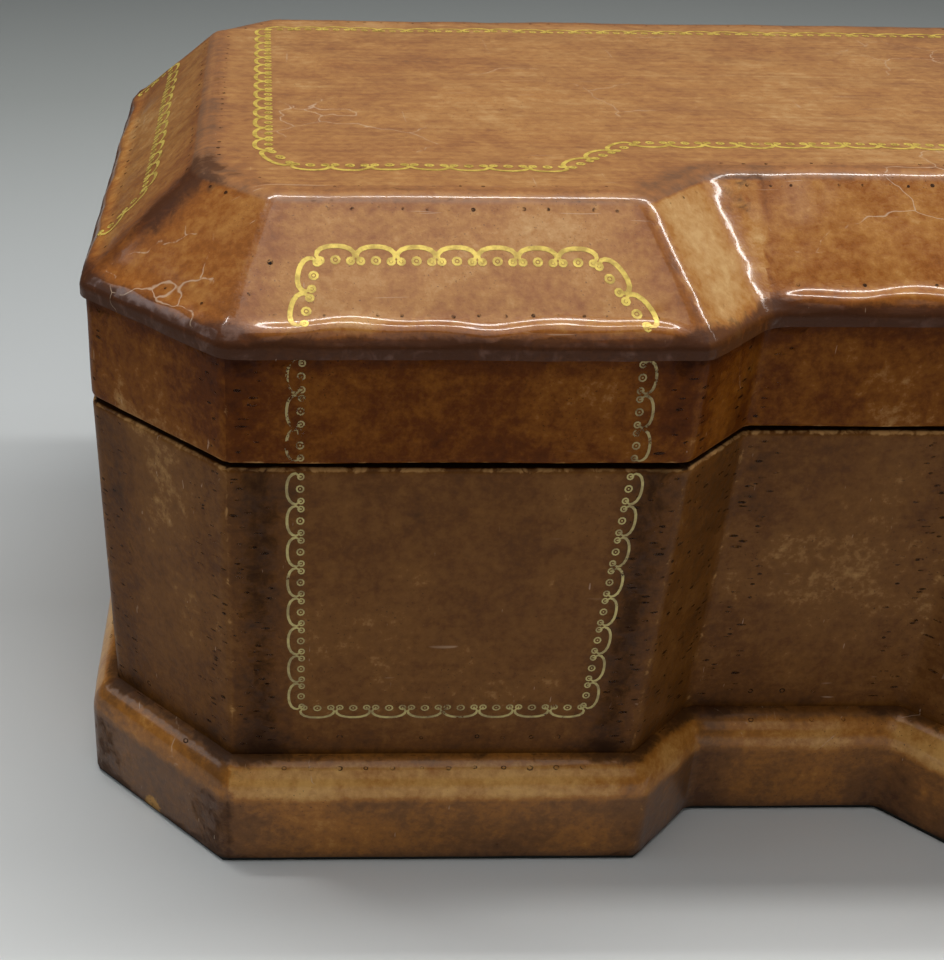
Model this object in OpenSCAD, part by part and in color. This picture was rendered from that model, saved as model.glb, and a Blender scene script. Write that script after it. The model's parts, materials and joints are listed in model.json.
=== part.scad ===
// Leather jewellery case with cut corners and a waisted front, made as a covered wooden carcase.
// +X to the right, +Y to the back, +Z up. The origin is the middle of the underside.

/* [Case] */
// Length over the leather of the walls
case_l = 300; // [270:1:360]
// Depth over the leather of the walls
case_d = 182; // [150:1:230]
// Height from the table to the flat top of the lid
case_h = 139; // [130:1:170]
// Height of the middle of the gap between the case and the lid
seam_z = 94.5; // [85:0.5:100]
// Gap between the case and the lid
seam_gap = 1; // [0.8:0.1:1.5]
// Size of each cut corner along either wall
corner_cut = 27; // [18:0.5:34]
// Width of the recessed panel in the middle of the front
recess_w = 46; // [40:1:70]
// How far that panel is set back, and how wide its angled sides are
recess_in = 15; // [10:0.5:18]

// How far the walls lean in from the seam down to the plinth
taper = 1.7; // [0:0.1:3]

/* [Plinth] */
// Height where the moulding meets the wall
plinth_h = 25; // [22:0.5:30]
// Height of the moulding's upright face
plinth_face_h = 17; // [12:0.5:18]
// How far the moulding stands out from the wall
plinth_out = 4; // [4:0.5:6]
// Thickness of the baize under the case
baize_t = 1.2; // [0.8:0.1:2]
// How far the baize is set in from the moulding's face
baize_in = 0.6; // [0.3:0.1:1.5]

/* [Lid] */
// Height of the lid's bevel, from its shoulder to the flat top
bevel_h = 19; // [14:0.5:22]
// Width of the bevel, seen from above
bevel_w = 22; // [16:0.5:26]
// Height of the rolled leather edge at the shoulder
roll_h = 3.5; // [2.5:0.5:5]
// How far that rolled edge stands out from the lid's wall
roll_out = 1; // [0.3:0.1:1.5]
// Angle to which the lid opens
lid_open = 100; // [80:1:105]

/* [Walls] */
// Thickness of the leather
leather_t = 1.2; // [0.8:0.1:1.5]
// Thickness of the leather turned in over the edges at the seam
turn_t = 0.8; // [0.6:0.1:1]
// Thickness of the case's wall boards
wall_t = 6; // [5:0.5:7]
// Clearance between the lip and the lid's wall boards
lip_gap = 0.5; // [0.4:0.1:0.8]
// Thickness of the bevelled boards and the top board of the lid
bevel_t = 6; // [4:0.5:7]
// Thickness of the floor board
floor_t = 6; // [4:0.5:8]
// Thickness of the black lip inside the walls
lip_t = 2; // [1.5:0.1:2.5]
// How far the lip stands up above the seam
lip_up = 3.5; // [2.5:0.5:4.5]
// Thickness of the velvet lining of the walls
lining_t = 1.2; // [0.8:0.1:1.6]
// Thickness of the silk lining of the lid
silk_t = 1.5; // [1:0.1:2]
// Thickness of the pad on the floor
floor_pad_t = 3.5; // [2:0.5:6]
// Thickness of the pad under the lid
lid_pad_t = 4.3; // [3:0.1:5]

/* [Tray] */
// Height of the tray
tray_h = 26; // [20:1:30]
// How far the top of the tray lies under the middle of the seam
tray_down = 4.9; // [4:0.1:10]
// Clearance between the tray and the wall lining
tray_gap = 1.8; // [1.6:0.1:2.5]
// Thickness of the tray's base and walls
tray_t = 2.5; // [2:0.1:3]
// Height of the dividers above the tray's base
divider_h = 19; // [14:0.5:22]
// Thickness of the dividers
divider_t = 2; // [1.5:0.1:3]
// Distance of the cross dividers from the middle of the tray
divider_x = 46; // [42:1:70]
// Thickness of the pads in the tray
tray_pad_t = 2; // [1:0.1:3]
// Number of ring rolls
roll_count = 6; // [4:1:7]
// Pitch of the ring rolls
roll_pitch = 11; // [9:0.5:11]
// Height of each ring roll's middle above the tray's base
roll_rise = 5; // [3:0.5:8]
// Height of the ledges that carry the tray
ledge_h = 6; // [4:0.5:8]
// Width of the ledges
ledge_w = 5; // [4:0.5:7]

/* [Hinges] */
// Distance of each hinge from the middle of the back
hinge_x = 72; // [55:1:95]
// Length of each hinge
hinge_l = 34; // [30:1:40]
// Radius of the knuckles
knuckle_r = 1.8; // [1.5:0.1:1.8]
// Distance of the pin behind the back wall
pin_back = 2.2; // [2:0.1:2.2]
// Radius of the pin
pin_r = 0.75; // [0.6:0.05:0.9]
// Thickness of the leaves
leaf_t = 1; // [0.8:0.1:1.2]

/* [Ribbon stays] */
// Width of the ribbon
ribbon_w = 5; // [4:0.5:6]
// Height of the ribbon's ends below and above the middle of the fold
ribbon_half = 5.2; // [5:0.1:6]
// Length of the ribbon's folded loop, seen from the side
ribbon_loop = 27; // [20:1:32]
// Clearance between the fold and the lining's back corner
ribbon_gap = 0.4; // [0.3:0.1:2]

/* [Hidden] */
WALLS = ["front_left_corner", "left_bay", "left_step", "recess", "right_step", "right_bay",
    "front_right_corner", "right_end", "back_right_corner", "back", "back_left_corner", "left_end"];
$fn = 48;
eps = 0.01;
back_wall = 9;
straight_walls = [1, 3, 5, 7, 9, 11];

half_l = case_l / 2;
half_d = case_d / 2;
case_top = seam_z - seam_gap / 2;
lid_bottom = seam_z + seam_gap / 2;
board_top = case_top - turn_t;
lid_board_bottom = lid_bottom + turn_t;
plinth_board_z = plinth_h - leather_t;
shoulder_z = case_h - bevel_h;
bay_x = half_l - corner_cut;
step_x = recess_w / 2 + recess_in;

// Depth of each layer, measured inwards from the leather's outer face
board_out = -leather_t;
board_in = board_out - wall_t;
lip_in = board_in - lip_t;
lining_in = lip_in - lining_t;
lid_board_in = board_in + lip_gap;
lid_lining_in = lid_board_in - silk_t;
floor_z = baize_t + floor_t;
lip_top = seam_z + lip_up;
lining_top = lip_top - 1.2;
lid_lining_z = lip_top + 1.5;
tray_out = lining_in - tray_gap;
tray_in = tray_out - tray_t;
tray_top = seam_z - tray_down;
tray_z = tray_top - tray_h;
tray_floor_z = tray_z + tray_t;
ledge_top = tray_z - 0.1;
pin_y = half_d + pin_back;
bore_r = pin_r + 0.05;
leaf_in = half_d - leather_t - wall_t;
screw_y = half_d - leather_t - wall_t / 2;
screw_r = 0.78;
screw_head_r = 1.5;
screw_l = 9;
knuckles = 5;
case_leaf_z = case_top + 0.1 - leaf_t;
lid_leaf_z = lid_bottom - 0.1;
knuckle_gap = 0.1;
pocket_gap = 0.1;

// The plan of the walls at the leather's outer face, anticlockwise from the left end's front corner
plan = [[-half_l, -half_d + corner_cut], [-bay_x, -half_d], [-step_x, -half_d],
    [-recess_w / 2, -half_d + recess_in], [recess_w / 2, -half_d + recess_in], [step_x, -half_d],
    [bay_x, -half_d], [half_l, -half_d + corner_cut], [half_l, half_d - corner_cut],
    [bay_x, half_d], [-bay_x, half_d], [-half_l, half_d - corner_cut]];
sides = len(plan);

// Outward normal of the wall that starts at corner i
function wall_normal(i) =
    let (t = plan[(i + 1) % sides] - plan[i % sides], l = norm(t)) [t[1] / l, -t[0] / l];
// Corner i of the plan, moved outwards by d
function grown_corner(i, d) =
    let (a = wall_normal(i + sides - 1), b = wall_normal(i)) plan[i] + d * (a + b) / (1 + a * b);
function grown(d) = [for (i = [0:sides - 1]) grown_corner(i, d)];

// Height and depth on a surface that lies t under the bevel's leather
bevel_len = norm([bevel_w, bevel_h]);
function bevel_z(d, t) = shoulder_z - d * bevel_h / bevel_w - t * bevel_len / bevel_w;
function bevel_d(z, t) = (shoulder_z - t * bevel_len / bevel_w - z) * bevel_w / bevel_h;

board_top_z = case_h - leather_t;
ridge_d = bevel_d(board_top_z, leather_t);
lid_wall_top = bevel_z(lid_board_in, leather_t + bevel_t);
bevel_in_z = bevel_z(ridge_d, leather_t + bevel_t);

// The moulding's quarter-round, from depth out at its upright face up to the foot of the wall
ovolo_steps = 8;
function ovolo(out, top) = [for (k = [0:ovolo_steps]) let (a = 90 * k / ovolo_steps)
    [(out + taper) * cos(a) - taper, plinth_face_h + (top - plinth_face_h) * sin(a)]];
// The rolled edge at the shoulder, from its lower edge up to the bevel
roll_r = 2.2;
roll_lap = 0.5;
roll_steps = 6;
function rolled_edge() =
    let (tilt = atan(bevel_w / bevel_h),
        c = [roll_out - roll_r, bevel_z(roll_out - roll_r, 0) - roll_r * bevel_len / bevel_w])
    concat([[roll_out, shoulder_z - roll_h]],
        [for (k = [0:roll_steps]) let (a = tilt * k / roll_steps) c + roll_r * [cos(a), sin(a)]]);

// ---- shapes that repeat ----
module slab(d, z0, z1) {
    translate([0, 0, z0]) linear_extrude(z1 - z0) polygon(grown(d));
}

module ring(d_out, d_in, z0, z1) {
    translate([0, 0, z0]) linear_extrude(z1 - z0) difference() {
        polygon(grown(d_out));
        polygon(grown(d_in));
    }
}

// One straight length of wall i, mitred at both ends
module board(i, d_out, d_in, z0, z1) {
    j = (i + 1) % sides;
    translate([0, 0, z0]) linear_extrude(z1 - z0)
        polygon([grown_corner(i, d_out), grown_corner(j, d_out), grown_corner(j, d_in), grown_corner(i, d_in)]);
}

// The same for a profile of [depth, height] points, anticlockwise with the outside to the right
module moulded(i, profile) {
    m = len(profile);
    points = [for (c = [i, (i + 1) % sides]) for (p = profile) [each grown_corner(c, p[0]), p[1]]];
    polyhedron(points, concat(
        [[for (k = [m - 1:-1:0]) k], [for (k = [0:m - 1]) m + k]],
        [for (k = [0:m - 1]) [k, (k + 1) % m, m + (k + 1) % m, m + k]]));
}

// A closed profile swept right round the plan
module swept(profile) {
    m = len(profile);
    points = [for (c = [0:sides - 1]) for (p = profile) [each grown_corner(c, p[0]), p[1]]];
    polyhedron(points, [for (c = [0:sides - 1]) for (k = [0:m - 1])
        let (e = (c + 1) % sides) [c * m + k, c * m + (k + 1) % m, e * m + (k + 1) % m, e * m + k]]);
}

// The plan as three convex pieces, for the flat faces of a stacked solid
pieces = [[11, 0, 1, 2, 3, 10], [3, 4, 9, 10], [4, 5, 6, 7, 8, 9]];
function backwards(v) = [for (k = [len(v) - 1:-1:0]) v[k]];

// A solid whose outline changes with height: each level is [depth, height], from the bottom up
module stacked(levels) {
    m = len(levels);
    points = [for (l = levels) for (p = grown(l[0])) [each p, l[1]]];
    polyhedron(points, concat(pieces, [for (f = pieces) [for (k = backwards(f)) (m - 1) * sides + k]],
        [for (r = [0:m - 2]) for (c = [0:sides - 1])
            let (e = (c + 1) % sides) [r * sides + c, (r + 1) * sides + c, (r + 1) * sides + e, r * sides + e]]));
}

module box(low, high) {
    translate(low) cube(high - low);
}

// ---- case ----
module hinge_pockets(z0, z1) {
    for (s = [-1, 1])
        box([s * hinge_x - hinge_l / 2 - pocket_gap, leaf_in, z0], [s * hinge_x + hinge_l / 2 + pocket_gap, pin_y, z1]);
}

module screw_holes(z0, z1) {
    for (s = [-1, 1]) for (x = [-1, 0, 1])
        translate([s * hinge_x + x * hinge_l / 3, screw_y, z0]) cylinder(r = screw_r + 0.02, h = z1 - z0);
}

module wall_board(i) {
    color("burlywood") difference() {
        moulded(i, [[board_in, floor_z], [board_out - taper, floor_z], [board_out - taper, plinth_h],
            [board_out, board_top], [board_in, board_top]]);
        if (i == back_wall) {
            hinge_pockets(case_leaf_z, seam_z);
            screw_holes(case_top - screw_l, seam_z);
        }
    }
}

module floor_board() {
    color("burlywood") slab(board_out - taper, baize_t, floor_z);
}

module plinth_moulding() {
    profile = concat([[board_out - taper, baize_t], [plinth_out - leather_t, baize_t]],
        ovolo(plinth_out - leather_t, plinth_board_z), [[board_out - taper, plinth_board_z]]);
    color("burlywood") swept(profile);
}

module plinth_leather() {
    outer = ovolo(plinth_out, plinth_h);
    inner = ovolo(plinth_out - leather_t, plinth_board_z);
    color("sienna") swept(concat([[plinth_out, baize_t]], outer,
        [for (k = [ovolo_steps:-1:0]) inner[k]], [[plinth_out - leather_t, baize_t]]));
}

// The walls' leather, turned in over the boards at the seam
module case_leather() {
    color("saddlebrown") difference() {
        swept([[board_in, board_top], [board_out, board_top], [board_out - taper, plinth_h],
            [board_out - taper, plinth_board_z], [-taper, plinth_board_z], [-taper, plinth_h],
            [0, case_top], [board_in, case_top]]);
        hinge_pockets(case_leaf_z, seam_z);
        screw_holes(case_top - screw_l, seam_z);
    }
}

module base_baize() {
    color("black") slab(plinth_out - baize_in, 0, baize_t);
}

module lip_liner() {
    color("black") ring(board_in, lip_in, floor_z, lip_top);
}

module case_lining() {
    color("darkred") ring(lip_in, lining_in, floor_z + floor_pad_t, lining_top);
}

module floor_pad() {
    color("darkred") slab(lip_in - 0.2, floor_z, floor_z + floor_pad_t);
}

module tray_ledges() {
    color("darkred") for (i = straight_walls)
        board(i, lining_in, lining_in - ledge_w, ledge_top - ledge_h, ledge_top);
}

// ---- lid ----
module lid_wall_boards() {
    color("burlywood") difference() {
        ring(board_out, lid_board_in, lid_board_bottom, lid_wall_top);
        hinge_pockets(seam_z, lid_leaf_z + leaf_t);
        screw_holes(seam_z, lid_bottom + screw_l);
    }
}

module lid_bevel_boards() {
    profile = [[board_out, lid_wall_top], [board_out, bevel_z(board_out, leather_t)], [ridge_d, board_top_z],
        [ridge_d, bevel_in_z], [lid_board_in, lid_wall_top]];
    color("burlywood") swept(profile);
}

module lid_top_board() {
    color("burlywood") slab(ridge_d, board_top_z - bevel_t, board_top_z);
}

module lid_leather() {
    color("peru") difference() {
        stacked(concat(rolled_edge(), [[-bevel_w, case_h]]));
        stacked([[board_out, shoulder_z - roll_h - 1], [board_out, bevel_z(board_out, leather_t)],
            [ridge_d, board_top_z]]);
        // the band's leather runs up inside the rolled edge
        stacked([[0, shoulder_z - roll_h - 1], [0, shoulder_z - roll_h + roll_lap]]);
    }
}

// The leather of the lid's upright band, turned in under the boards at the seam
module lid_band_leather() {
    color("saddlebrown") difference() {
        union() {
            ring(0, board_out, lid_bottom, shoulder_z - roll_h + roll_lap);
            ring(board_out + 0.2, lid_board_in, lid_bottom, lid_board_bottom);
        }
        hinge_pockets(seam_z, lid_leaf_z + leaf_t);
        screw_holes(seam_z, lid_bottom + screw_l);
    }
}

module lid_lining() {
    t = leather_t + bevel_t + silk_t;
    color("gold") swept([[lid_board_in, lid_lining_z], [lid_board_in, lid_wall_top], [ridge_d, bevel_in_z],
        [ridge_d, bevel_z(ridge_d, t)], [lid_lining_in, bevel_z(lid_lining_in, t)], [lid_lining_in, lid_lining_z]]);
}

module lid_pad() {
    color("gold") slab(ridge_d - 0.2, board_top_z - bevel_t - lid_pad_t, board_top_z - bevel_t);
}

// ---- hinges ----
// The two leaves share five knuckles: the case's leaf has the odd ones
module hinge_leaf(side, case_side) {
    pitch = hinge_l / knuckles;
    z0 = case_side ? case_leaf_z : lid_leaf_z;
    first = case_side ? 0 : 1;
    x0 = side * hinge_x - hinge_l / 2;
    color("goldenrod") difference() {
        union() {
            box([x0, leaf_in, z0], [x0 + hinge_l, pin_y, z0 + leaf_t]);
            for (k = [first:2:knuckles - 1])
                translate([x0 + k * pitch + knuckle_gap, pin_y, seam_z]) rotate([0, 90, 0])
                    cylinder(r = knuckle_r, h = pitch - 2 * knuckle_gap);
        }
        for (k = [1 - first:2:knuckles - 1])
            box([x0 + k * pitch - knuckle_gap, pin_y - knuckle_r - 0.25, z0 - 1],
                [x0 + (k + 1) * pitch + knuckle_gap, pin_y + knuckle_r, z0 + leaf_t + 1]);
        translate([x0 - 1, pin_y, seam_z]) rotate([0, 90, 0]) cylinder(r = bore_r, h = hinge_l + 2);
        for (x = [-1, 0, 1]) translate([side * hinge_x + x * hinge_l / 3, screw_y, z0 - 1]) {
            cylinder(r = screw_r + 0.02, h = leaf_t + 2);
            translate([0, 0, case_side ? 1 + leaf_t - 0.6 : 1 - eps])
                cylinder(r1 = case_side ? screw_r + 0.04 : screw_head_r + 0.04,
                    r2 = case_side ? screw_head_r + 0.04 : screw_r + 0.04, h = 0.6 + eps);
        }
    }
}

module hinge_pin(side) {
    color("darkgoldenrod") translate([side * hinge_x - hinge_l / 2 - 0.3, pin_y, seam_z]) rotate([0, 90, 0]) {
        cylinder(r = pin_r, h = hinge_l + 0.6);
        for (x = [-0.4, hinge_l + 0.6]) translate([0, 0, x]) cylinder(r = knuckle_r - 0.4, h = 0.4);
    }
}

// A slotted wood screw, its head at z = 0 and its point down
module screw() {
    difference() {
        union() {
            translate([0, 0, -0.6]) cylinder(r1 = screw_r, r2 = screw_head_r, h = 0.6);
            translate([0, 0, -screw_l + 2]) cylinder(r = screw_r, h = screw_l - 2 - 0.5);
            translate([0, 0, -screw_l + 0.3]) cylinder(r1 = 0.1, r2 = screw_r, h = 1.7 + eps);
        }
        box([-2, -0.2, -0.35], [2, 0.2, 1]);
    }
}

module hinge_screws(case_side) {
    z = case_side ? case_top + 0.1 : lid_bottom - 0.1;
    color("goldenrod") for (s = [-1, 1]) for (x = [-1, 0, 1])
        translate([s * hinge_x + x * hinge_l / 3, screw_y, z]) mirror([0, 0, case_side ? 0 : 1])
            rotate([0, 0, 25 * x + 40 * s]) screw();
}

// ---- ribbon stays: a ribbon folded back on itself beside the tray ----
module stay_ribbon(side) {
    h = ribbon_half;
    w = ribbon_w / 2;
    y1 = grown_corner(8, lining_in)[1] - ribbon_gap - w;
    y0 = y1 - ribbon_loop;
    z0 = seam_z + 3.2;
    x = half_l + lining_in - 0.2;
    color("darkred") rotate([90, 0, 90]) translate([0, 0, side < 0 ? -x : x - 1])
        linear_extrude(1) polygon([[y0, z0 - h - w], [y1, z0 - w], [y1 + w, z0], [y1, z0 + w],
            [y0, z0 + h + w], [y0, z0 + h - w], [y1 - 4 * w, z0], [y0, z0 - h + w]]);
}

// ---- tray ----
module tray_base() {
    color("tan") slab(tray_out, tray_z, tray_floor_z);
}

module tray_walls() {
    color("tan") ring(tray_out, tray_in, tray_floor_z, tray_top);
}

end_x = half_l + tray_in;
front_y = -half_d + recess_in - tray_in;
back_y = half_d + tray_in;
roll_l = 2 * divider_x - divider_t - 0.6;
roll_room = roll_count * roll_pitch;
middle_y = front_y + roll_room + 0.6;
divider_top = tray_floor_z + divider_h;

module tray_cross_divider(side) {
    x = side * divider_x;
    color("tan") intersection() {
        box([x - divider_t / 2, -half_d, tray_floor_z], [x + divider_t / 2, half_d, divider_top]);
        slab(tray_in - 0.05, tray_floor_z, divider_top);
    }
}

module tray_middle_divider() {
    x = divider_x - divider_t / 2;
    color("tan") box([-x, middle_y, tray_floor_z], [x, middle_y + divider_t, divider_top]);
}

module tray_side_divider(side) {
    x0 = divider_x + divider_t / 2;
    x1 = end_x - 0.05;
    color("tan") box([side < 0 ? -x1 : x0, -divider_t / 2, tray_floor_z],
        [side < 0 ? -x0 : x1, divider_t / 2, divider_top]);
}

// A pad for each open compartment, and a thin one under the ring rolls
module tray_pads() {
    g = 0.4;
    x0 = divider_x + divider_t / 2 + g;
    color("darkred") {
        for (s = [-1, 1]) for (t = [-1, 1]) intersection() {
            slab(tray_in - g, tray_floor_z, tray_floor_z + tray_pad_t);
            box([s < 0 ? -half_l : x0, t < 0 ? -half_d : divider_t / 2 + g, tray_floor_z],
                [s < 0 ? -x0 : half_l, t < 0 ? -divider_t / 2 - g : half_d, tray_floor_z + tray_pad_t]);
        }
        box([-divider_x + divider_t / 2 + g, middle_y + divider_t + g, tray_floor_z],
            [divider_x - divider_t / 2 - g, back_y - g, tray_floor_z + tray_pad_t]);
        // the two corners in front of the ring rolls are filled
        intersection() {
            slab(tray_in - g, tray_floor_z, tray_floor_z + roll_rise);
            box([-divider_x + divider_t / 2 + g, -half_d, tray_floor_z],
                [divider_x - divider_t / 2 - g, front_y + 0.3, tray_floor_z + roll_rise]);
        }
    }
}

module ring_rolls() {
    r = roll_pitch / 2 - 0.15;
    color("darkred") for (k = [0:roll_count - 1])
        translate([-roll_l / 2, front_y + 0.4 + roll_pitch * (k + 0.5), tray_floor_z]) rotate([90, 0, 90])
            linear_extrude(roll_l) intersection() {
                union() {
                    translate([0, roll_rise]) circle(r);
                    translate([-r, 0]) square([2 * r, roll_rise]);
                }
                translate([-r, 0]) square([2 * r, roll_rise + r]);
            }
}

// A loop of ribbon glued inside each end wall of the tray
module tray_pull(side) {
    x = half_l + tray_in - 0.1;
    color("darkred") box([side < 0 ? -x : x - 0.8, -15, tray_top - 10],
        [side < 0 ? -x + 0.8 : x, -7, tray_top + 6]);
}

for (i = [0:sides - 1]) wall_board(i);
floor_board();
plinth_moulding();
plinth_leather();
case_leather();
base_baize();
lip_liner();
case_lining();
floor_pad();
tray_ledges();
lid_wall_boards();
lid_bevel_boards();
lid_top_board();
lid_leather();
lid_band_leather();
lid_lining();
lid_pad();
hinge_leaf(-1, true);  // hinge_left_case_leaf
hinge_leaf(-1, false);  // hinge_left_lid_leaf
hinge_pin(-1);  // hinge_left_pin
hinge_leaf(1, true);  // hinge_right_case_leaf
hinge_leaf(1, false);  // hinge_right_lid_leaf
hinge_pin(1);  // hinge_right_pin
hinge_screws(true);  // hinge_case_screws
hinge_screws(false);  // hinge_lid_screws
stay_ribbon(-1);  // stay_ribbon_left
stay_ribbon(1);  // stay_ribbon_right
tray_base();
tray_walls();
tray_cross_divider(-1);  // tray_cross_divider_left
tray_cross_divider(1);  // tray_cross_divider_right
tray_middle_divider();
tray_side_divider(-1);  // tray_side_divider_left
tray_side_divider(1);  // tray_side_divider_right
tray_pads();
ring_rolls();
tray_pull(-1);  // tray_pull_left
tray_pull(1);  // tray_pull_right
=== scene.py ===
import json
import math
import random

import bmesh
import bpy
import numpy as np
from mathutils import Matrix, Vector


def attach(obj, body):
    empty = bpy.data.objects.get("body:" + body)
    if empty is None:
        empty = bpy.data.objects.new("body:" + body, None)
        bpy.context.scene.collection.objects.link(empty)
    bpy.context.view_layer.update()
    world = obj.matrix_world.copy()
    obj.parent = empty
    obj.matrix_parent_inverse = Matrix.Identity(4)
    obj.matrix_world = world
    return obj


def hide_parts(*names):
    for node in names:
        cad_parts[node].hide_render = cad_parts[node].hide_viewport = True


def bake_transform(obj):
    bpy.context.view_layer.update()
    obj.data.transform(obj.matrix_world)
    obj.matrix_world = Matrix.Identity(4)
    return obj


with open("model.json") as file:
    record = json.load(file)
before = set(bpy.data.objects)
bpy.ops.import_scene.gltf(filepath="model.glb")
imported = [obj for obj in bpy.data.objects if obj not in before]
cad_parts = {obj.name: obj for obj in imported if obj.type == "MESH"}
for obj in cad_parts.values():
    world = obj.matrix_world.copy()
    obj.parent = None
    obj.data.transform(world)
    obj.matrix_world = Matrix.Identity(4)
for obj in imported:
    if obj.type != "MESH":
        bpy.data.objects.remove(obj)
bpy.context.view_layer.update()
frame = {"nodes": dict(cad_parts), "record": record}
mm = 0.001
print("frame loaded")

# the case's own sizes, as built
case = {
    "length": 300 * mm, "depth": 182 * mm, "corner": 27 * mm, "recessWidth": 46 * mm, "recessIn": 15 * mm,
    "taper": 1.7 * mm, "plinthOut": 4 * mm, "plinthFace": 17 * mm, "plinthTop": 25 * mm, "baize": 1.2 * mm,
    "caseTop": 94 * mm, "lidBottom": 95 * mm, "rollFoot": 116.5 * mm, "rollOut": 1 * mm,
    "rollRadius": 2.2 * mm, "shoulder": 120 * mm, "bevelWidth": 22 * mm, "top": 139 * mm,
    "boardIn": 7.2 * mm, "lidBoardIn": 6.7 * mm,
}
eighth = math.tan(math.radians(22.5))


camera = {"place": (-116.34 * mm, -315.75 * mm, 222.88 * mm), "down": 0.52781, "turn": 0.03446,
          "tilt": 0.0191, "lens": 53.37, "shift": 0.175, "clip": 0.02}
bpy.ops.object.camera_add(location=camera["place"])
view = bpy.context.object
view.name = "camera"
view.rotation_euler = (Matrix.Rotation(-camera["turn"], 3, "Z")
                       @ Matrix.Rotation(math.pi / 2 - camera["down"], 3, "X")
                       @ Matrix.Rotation(camera["tilt"], 3, "Z")).to_euler()
view.data.lens = camera["lens"]
view.data.shift_x = camera["shift"]
view.data.clip_start = camera["clip"]
bpy.context.scene.camera = view
print("camera placed")


def deselect():
    if bpy.context.object and bpy.context.object.mode != "OBJECT":
        toObject()
    bpy.ops.object.select_all(action="DESELECT")


def only(piece):
    deselect()
    piece.select_set(True)
    bpy.context.view_layer.objects.active = piece


def toEdit():
    bpy.ops.object.mode_set(mode="EDIT")


def toObject():
    bpy.ops.object.mode_set(mode="OBJECT")


def discard(*pieces):
    deselect()
    for piece in pieces:
        piece.select_set(True)
    bpy.ops.object.delete()


def newPiece(name, verts, sides):
    mesh = bpy.data.meshes.new(name)
    mesh.from_pydata(verts, [], sides)
    piece = bpy.data.objects.new(name, mesh)
    bpy.context.scene.collection.objects.link(piece)
    return piece


def pick(kind, test):
    # kind is VERT, EDGE or FACE; selects the parts that pass the test, and says how many
    bpy.ops.mesh.select_mode(type=kind)
    bpy.ops.mesh.select_all(action="DESELECT")
    data = bpy.context.object.data
    mesh = bmesh.from_edit_mesh(data)
    parts = {"VERT": mesh.verts, "EDGE": mesh.edges, "FACE": mesh.faces}[kind]
    chosen = [part for part in parts if test(part)]
    for part in chosen:
        part.select_set(True)
    mesh.select_flush_mode()
    bmesh.update_edit_mesh(data)
    return len(chosen)


def middle(part):
    return sum((v.co for v in part.verts), Vector()) / len(part.verts)


def corners(grow):
    # the plan's twelve corners, anticlockwise from the left end's front one, moved outwards by grow
    x, y = case["length"] / 2 + grow, case["depth"] / 2 + grow
    cut = case["corner"] + grow * (2 - math.sqrt(2))
    inner = case["recessWidth"] / 2 - grow * eighth
    outer = inner + case["recessIn"]
    deep = case["recessIn"] - y
    return [(-x, cut - y), (cut - x, -y), (-outer, -y), (-inner, deep), (inner, deep), (outer, -y),
            (x - cut, -y), (x, cut - y), (x, y - cut), (x - cut, y), (cut - x, y), (-x, y - cut)]


def outline(name, grow, z, faceUp=True):
    # one flat face with the case's plan, left in edit mode and selected
    deselect()
    bpy.ops.mesh.primitive_circle_add(vertices=12, radius=case["length"] / 2, fill_type="NGON")
    piece = bpy.context.object
    piece.name = piece.data.name = name
    for vertex, (x, y) in zip(piece.data.vertices, corners(grow)):
        vertex.co = (x, y, z)
    toEdit()
    bpy.ops.mesh.select_mode(type="FACE")
    normalsOut()
    data = bmesh.from_edit_mesh(piece.data)
    data.faces.ensure_lookup_table()
    data.normal_update()
    if (data.faces[0].normal.z > 0) != faceUp:
        bpy.ops.mesh.flip_normals()
    return piece


def rise(moves):
    # carries the selected face along, each move a distance inwards and a distance out of the face
    for inwards, out in moves:
        if inwards < 1e-7:
            data = bmesh.from_edit_mesh(bpy.context.object.data)
            data.normal_update()
            up = out * [f for f in data.faces if f.select][0].normal.z
            bpy.ops.mesh.extrude_region_move(TRANSFORM_OT_translate={"value": (0, 0, up)})
        else:
            bpy.ops.mesh.inset(thickness=inwards, depth=out, use_even_offset=True, use_boundary=True)


def turnIn(z, width):
    # turns the open edge at height z inwards, as leather is turned over a board
    if not pick("FACE", lambda f: all(abs(v.co.z - z) < 1e-6 for v in f.verts)):
        fillEdge(z)
        bpy.ops.mesh.select_mode(type="FACE")
    bpy.ops.mesh.inset(thickness=width, depth=0, use_even_offset=True, use_boundary=True)
    bpy.ops.mesh.delete(type="FACE")
    normalsOut()


def bend(edge):
    return edge.calc_face_angle(0) if len(edge.link_faces) == 2 else 0


def climb(edge):
    return abs(edge.verts[0].co.z - edge.verts[1].co.z)


def inRecess(edge):
    # the two lines where the recess meets its steps
    at = middle(edge)
    front = 5 * mm - case["depth"] / 2 + case["recessIn"] * 0.5
    return abs(at.x) < case["recessWidth"] / 2 + 12 * mm and front < at.y < 0 and climb(edge) > 0.05 * mm


def roundEdges(test, offset, segments, profile=0.5):
    pick("EDGE", test)
    bpy.ops.mesh.bevel(offset=offset, segments=segments, profile=profile, affect="EDGES", clamp_overlap=False)


def fillEdge(z):
    pick("EDGE", lambda e: e.is_boundary and all(abs(v.co.z - z) < 1e-6 for v in e.verts))
    bpy.ops.mesh.edge_face_add()


def normalsOut():
    bpy.ops.mesh.select_all(action="SELECT")
    bpy.ops.mesh.normals_make_consistent(inside=False)


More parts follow.
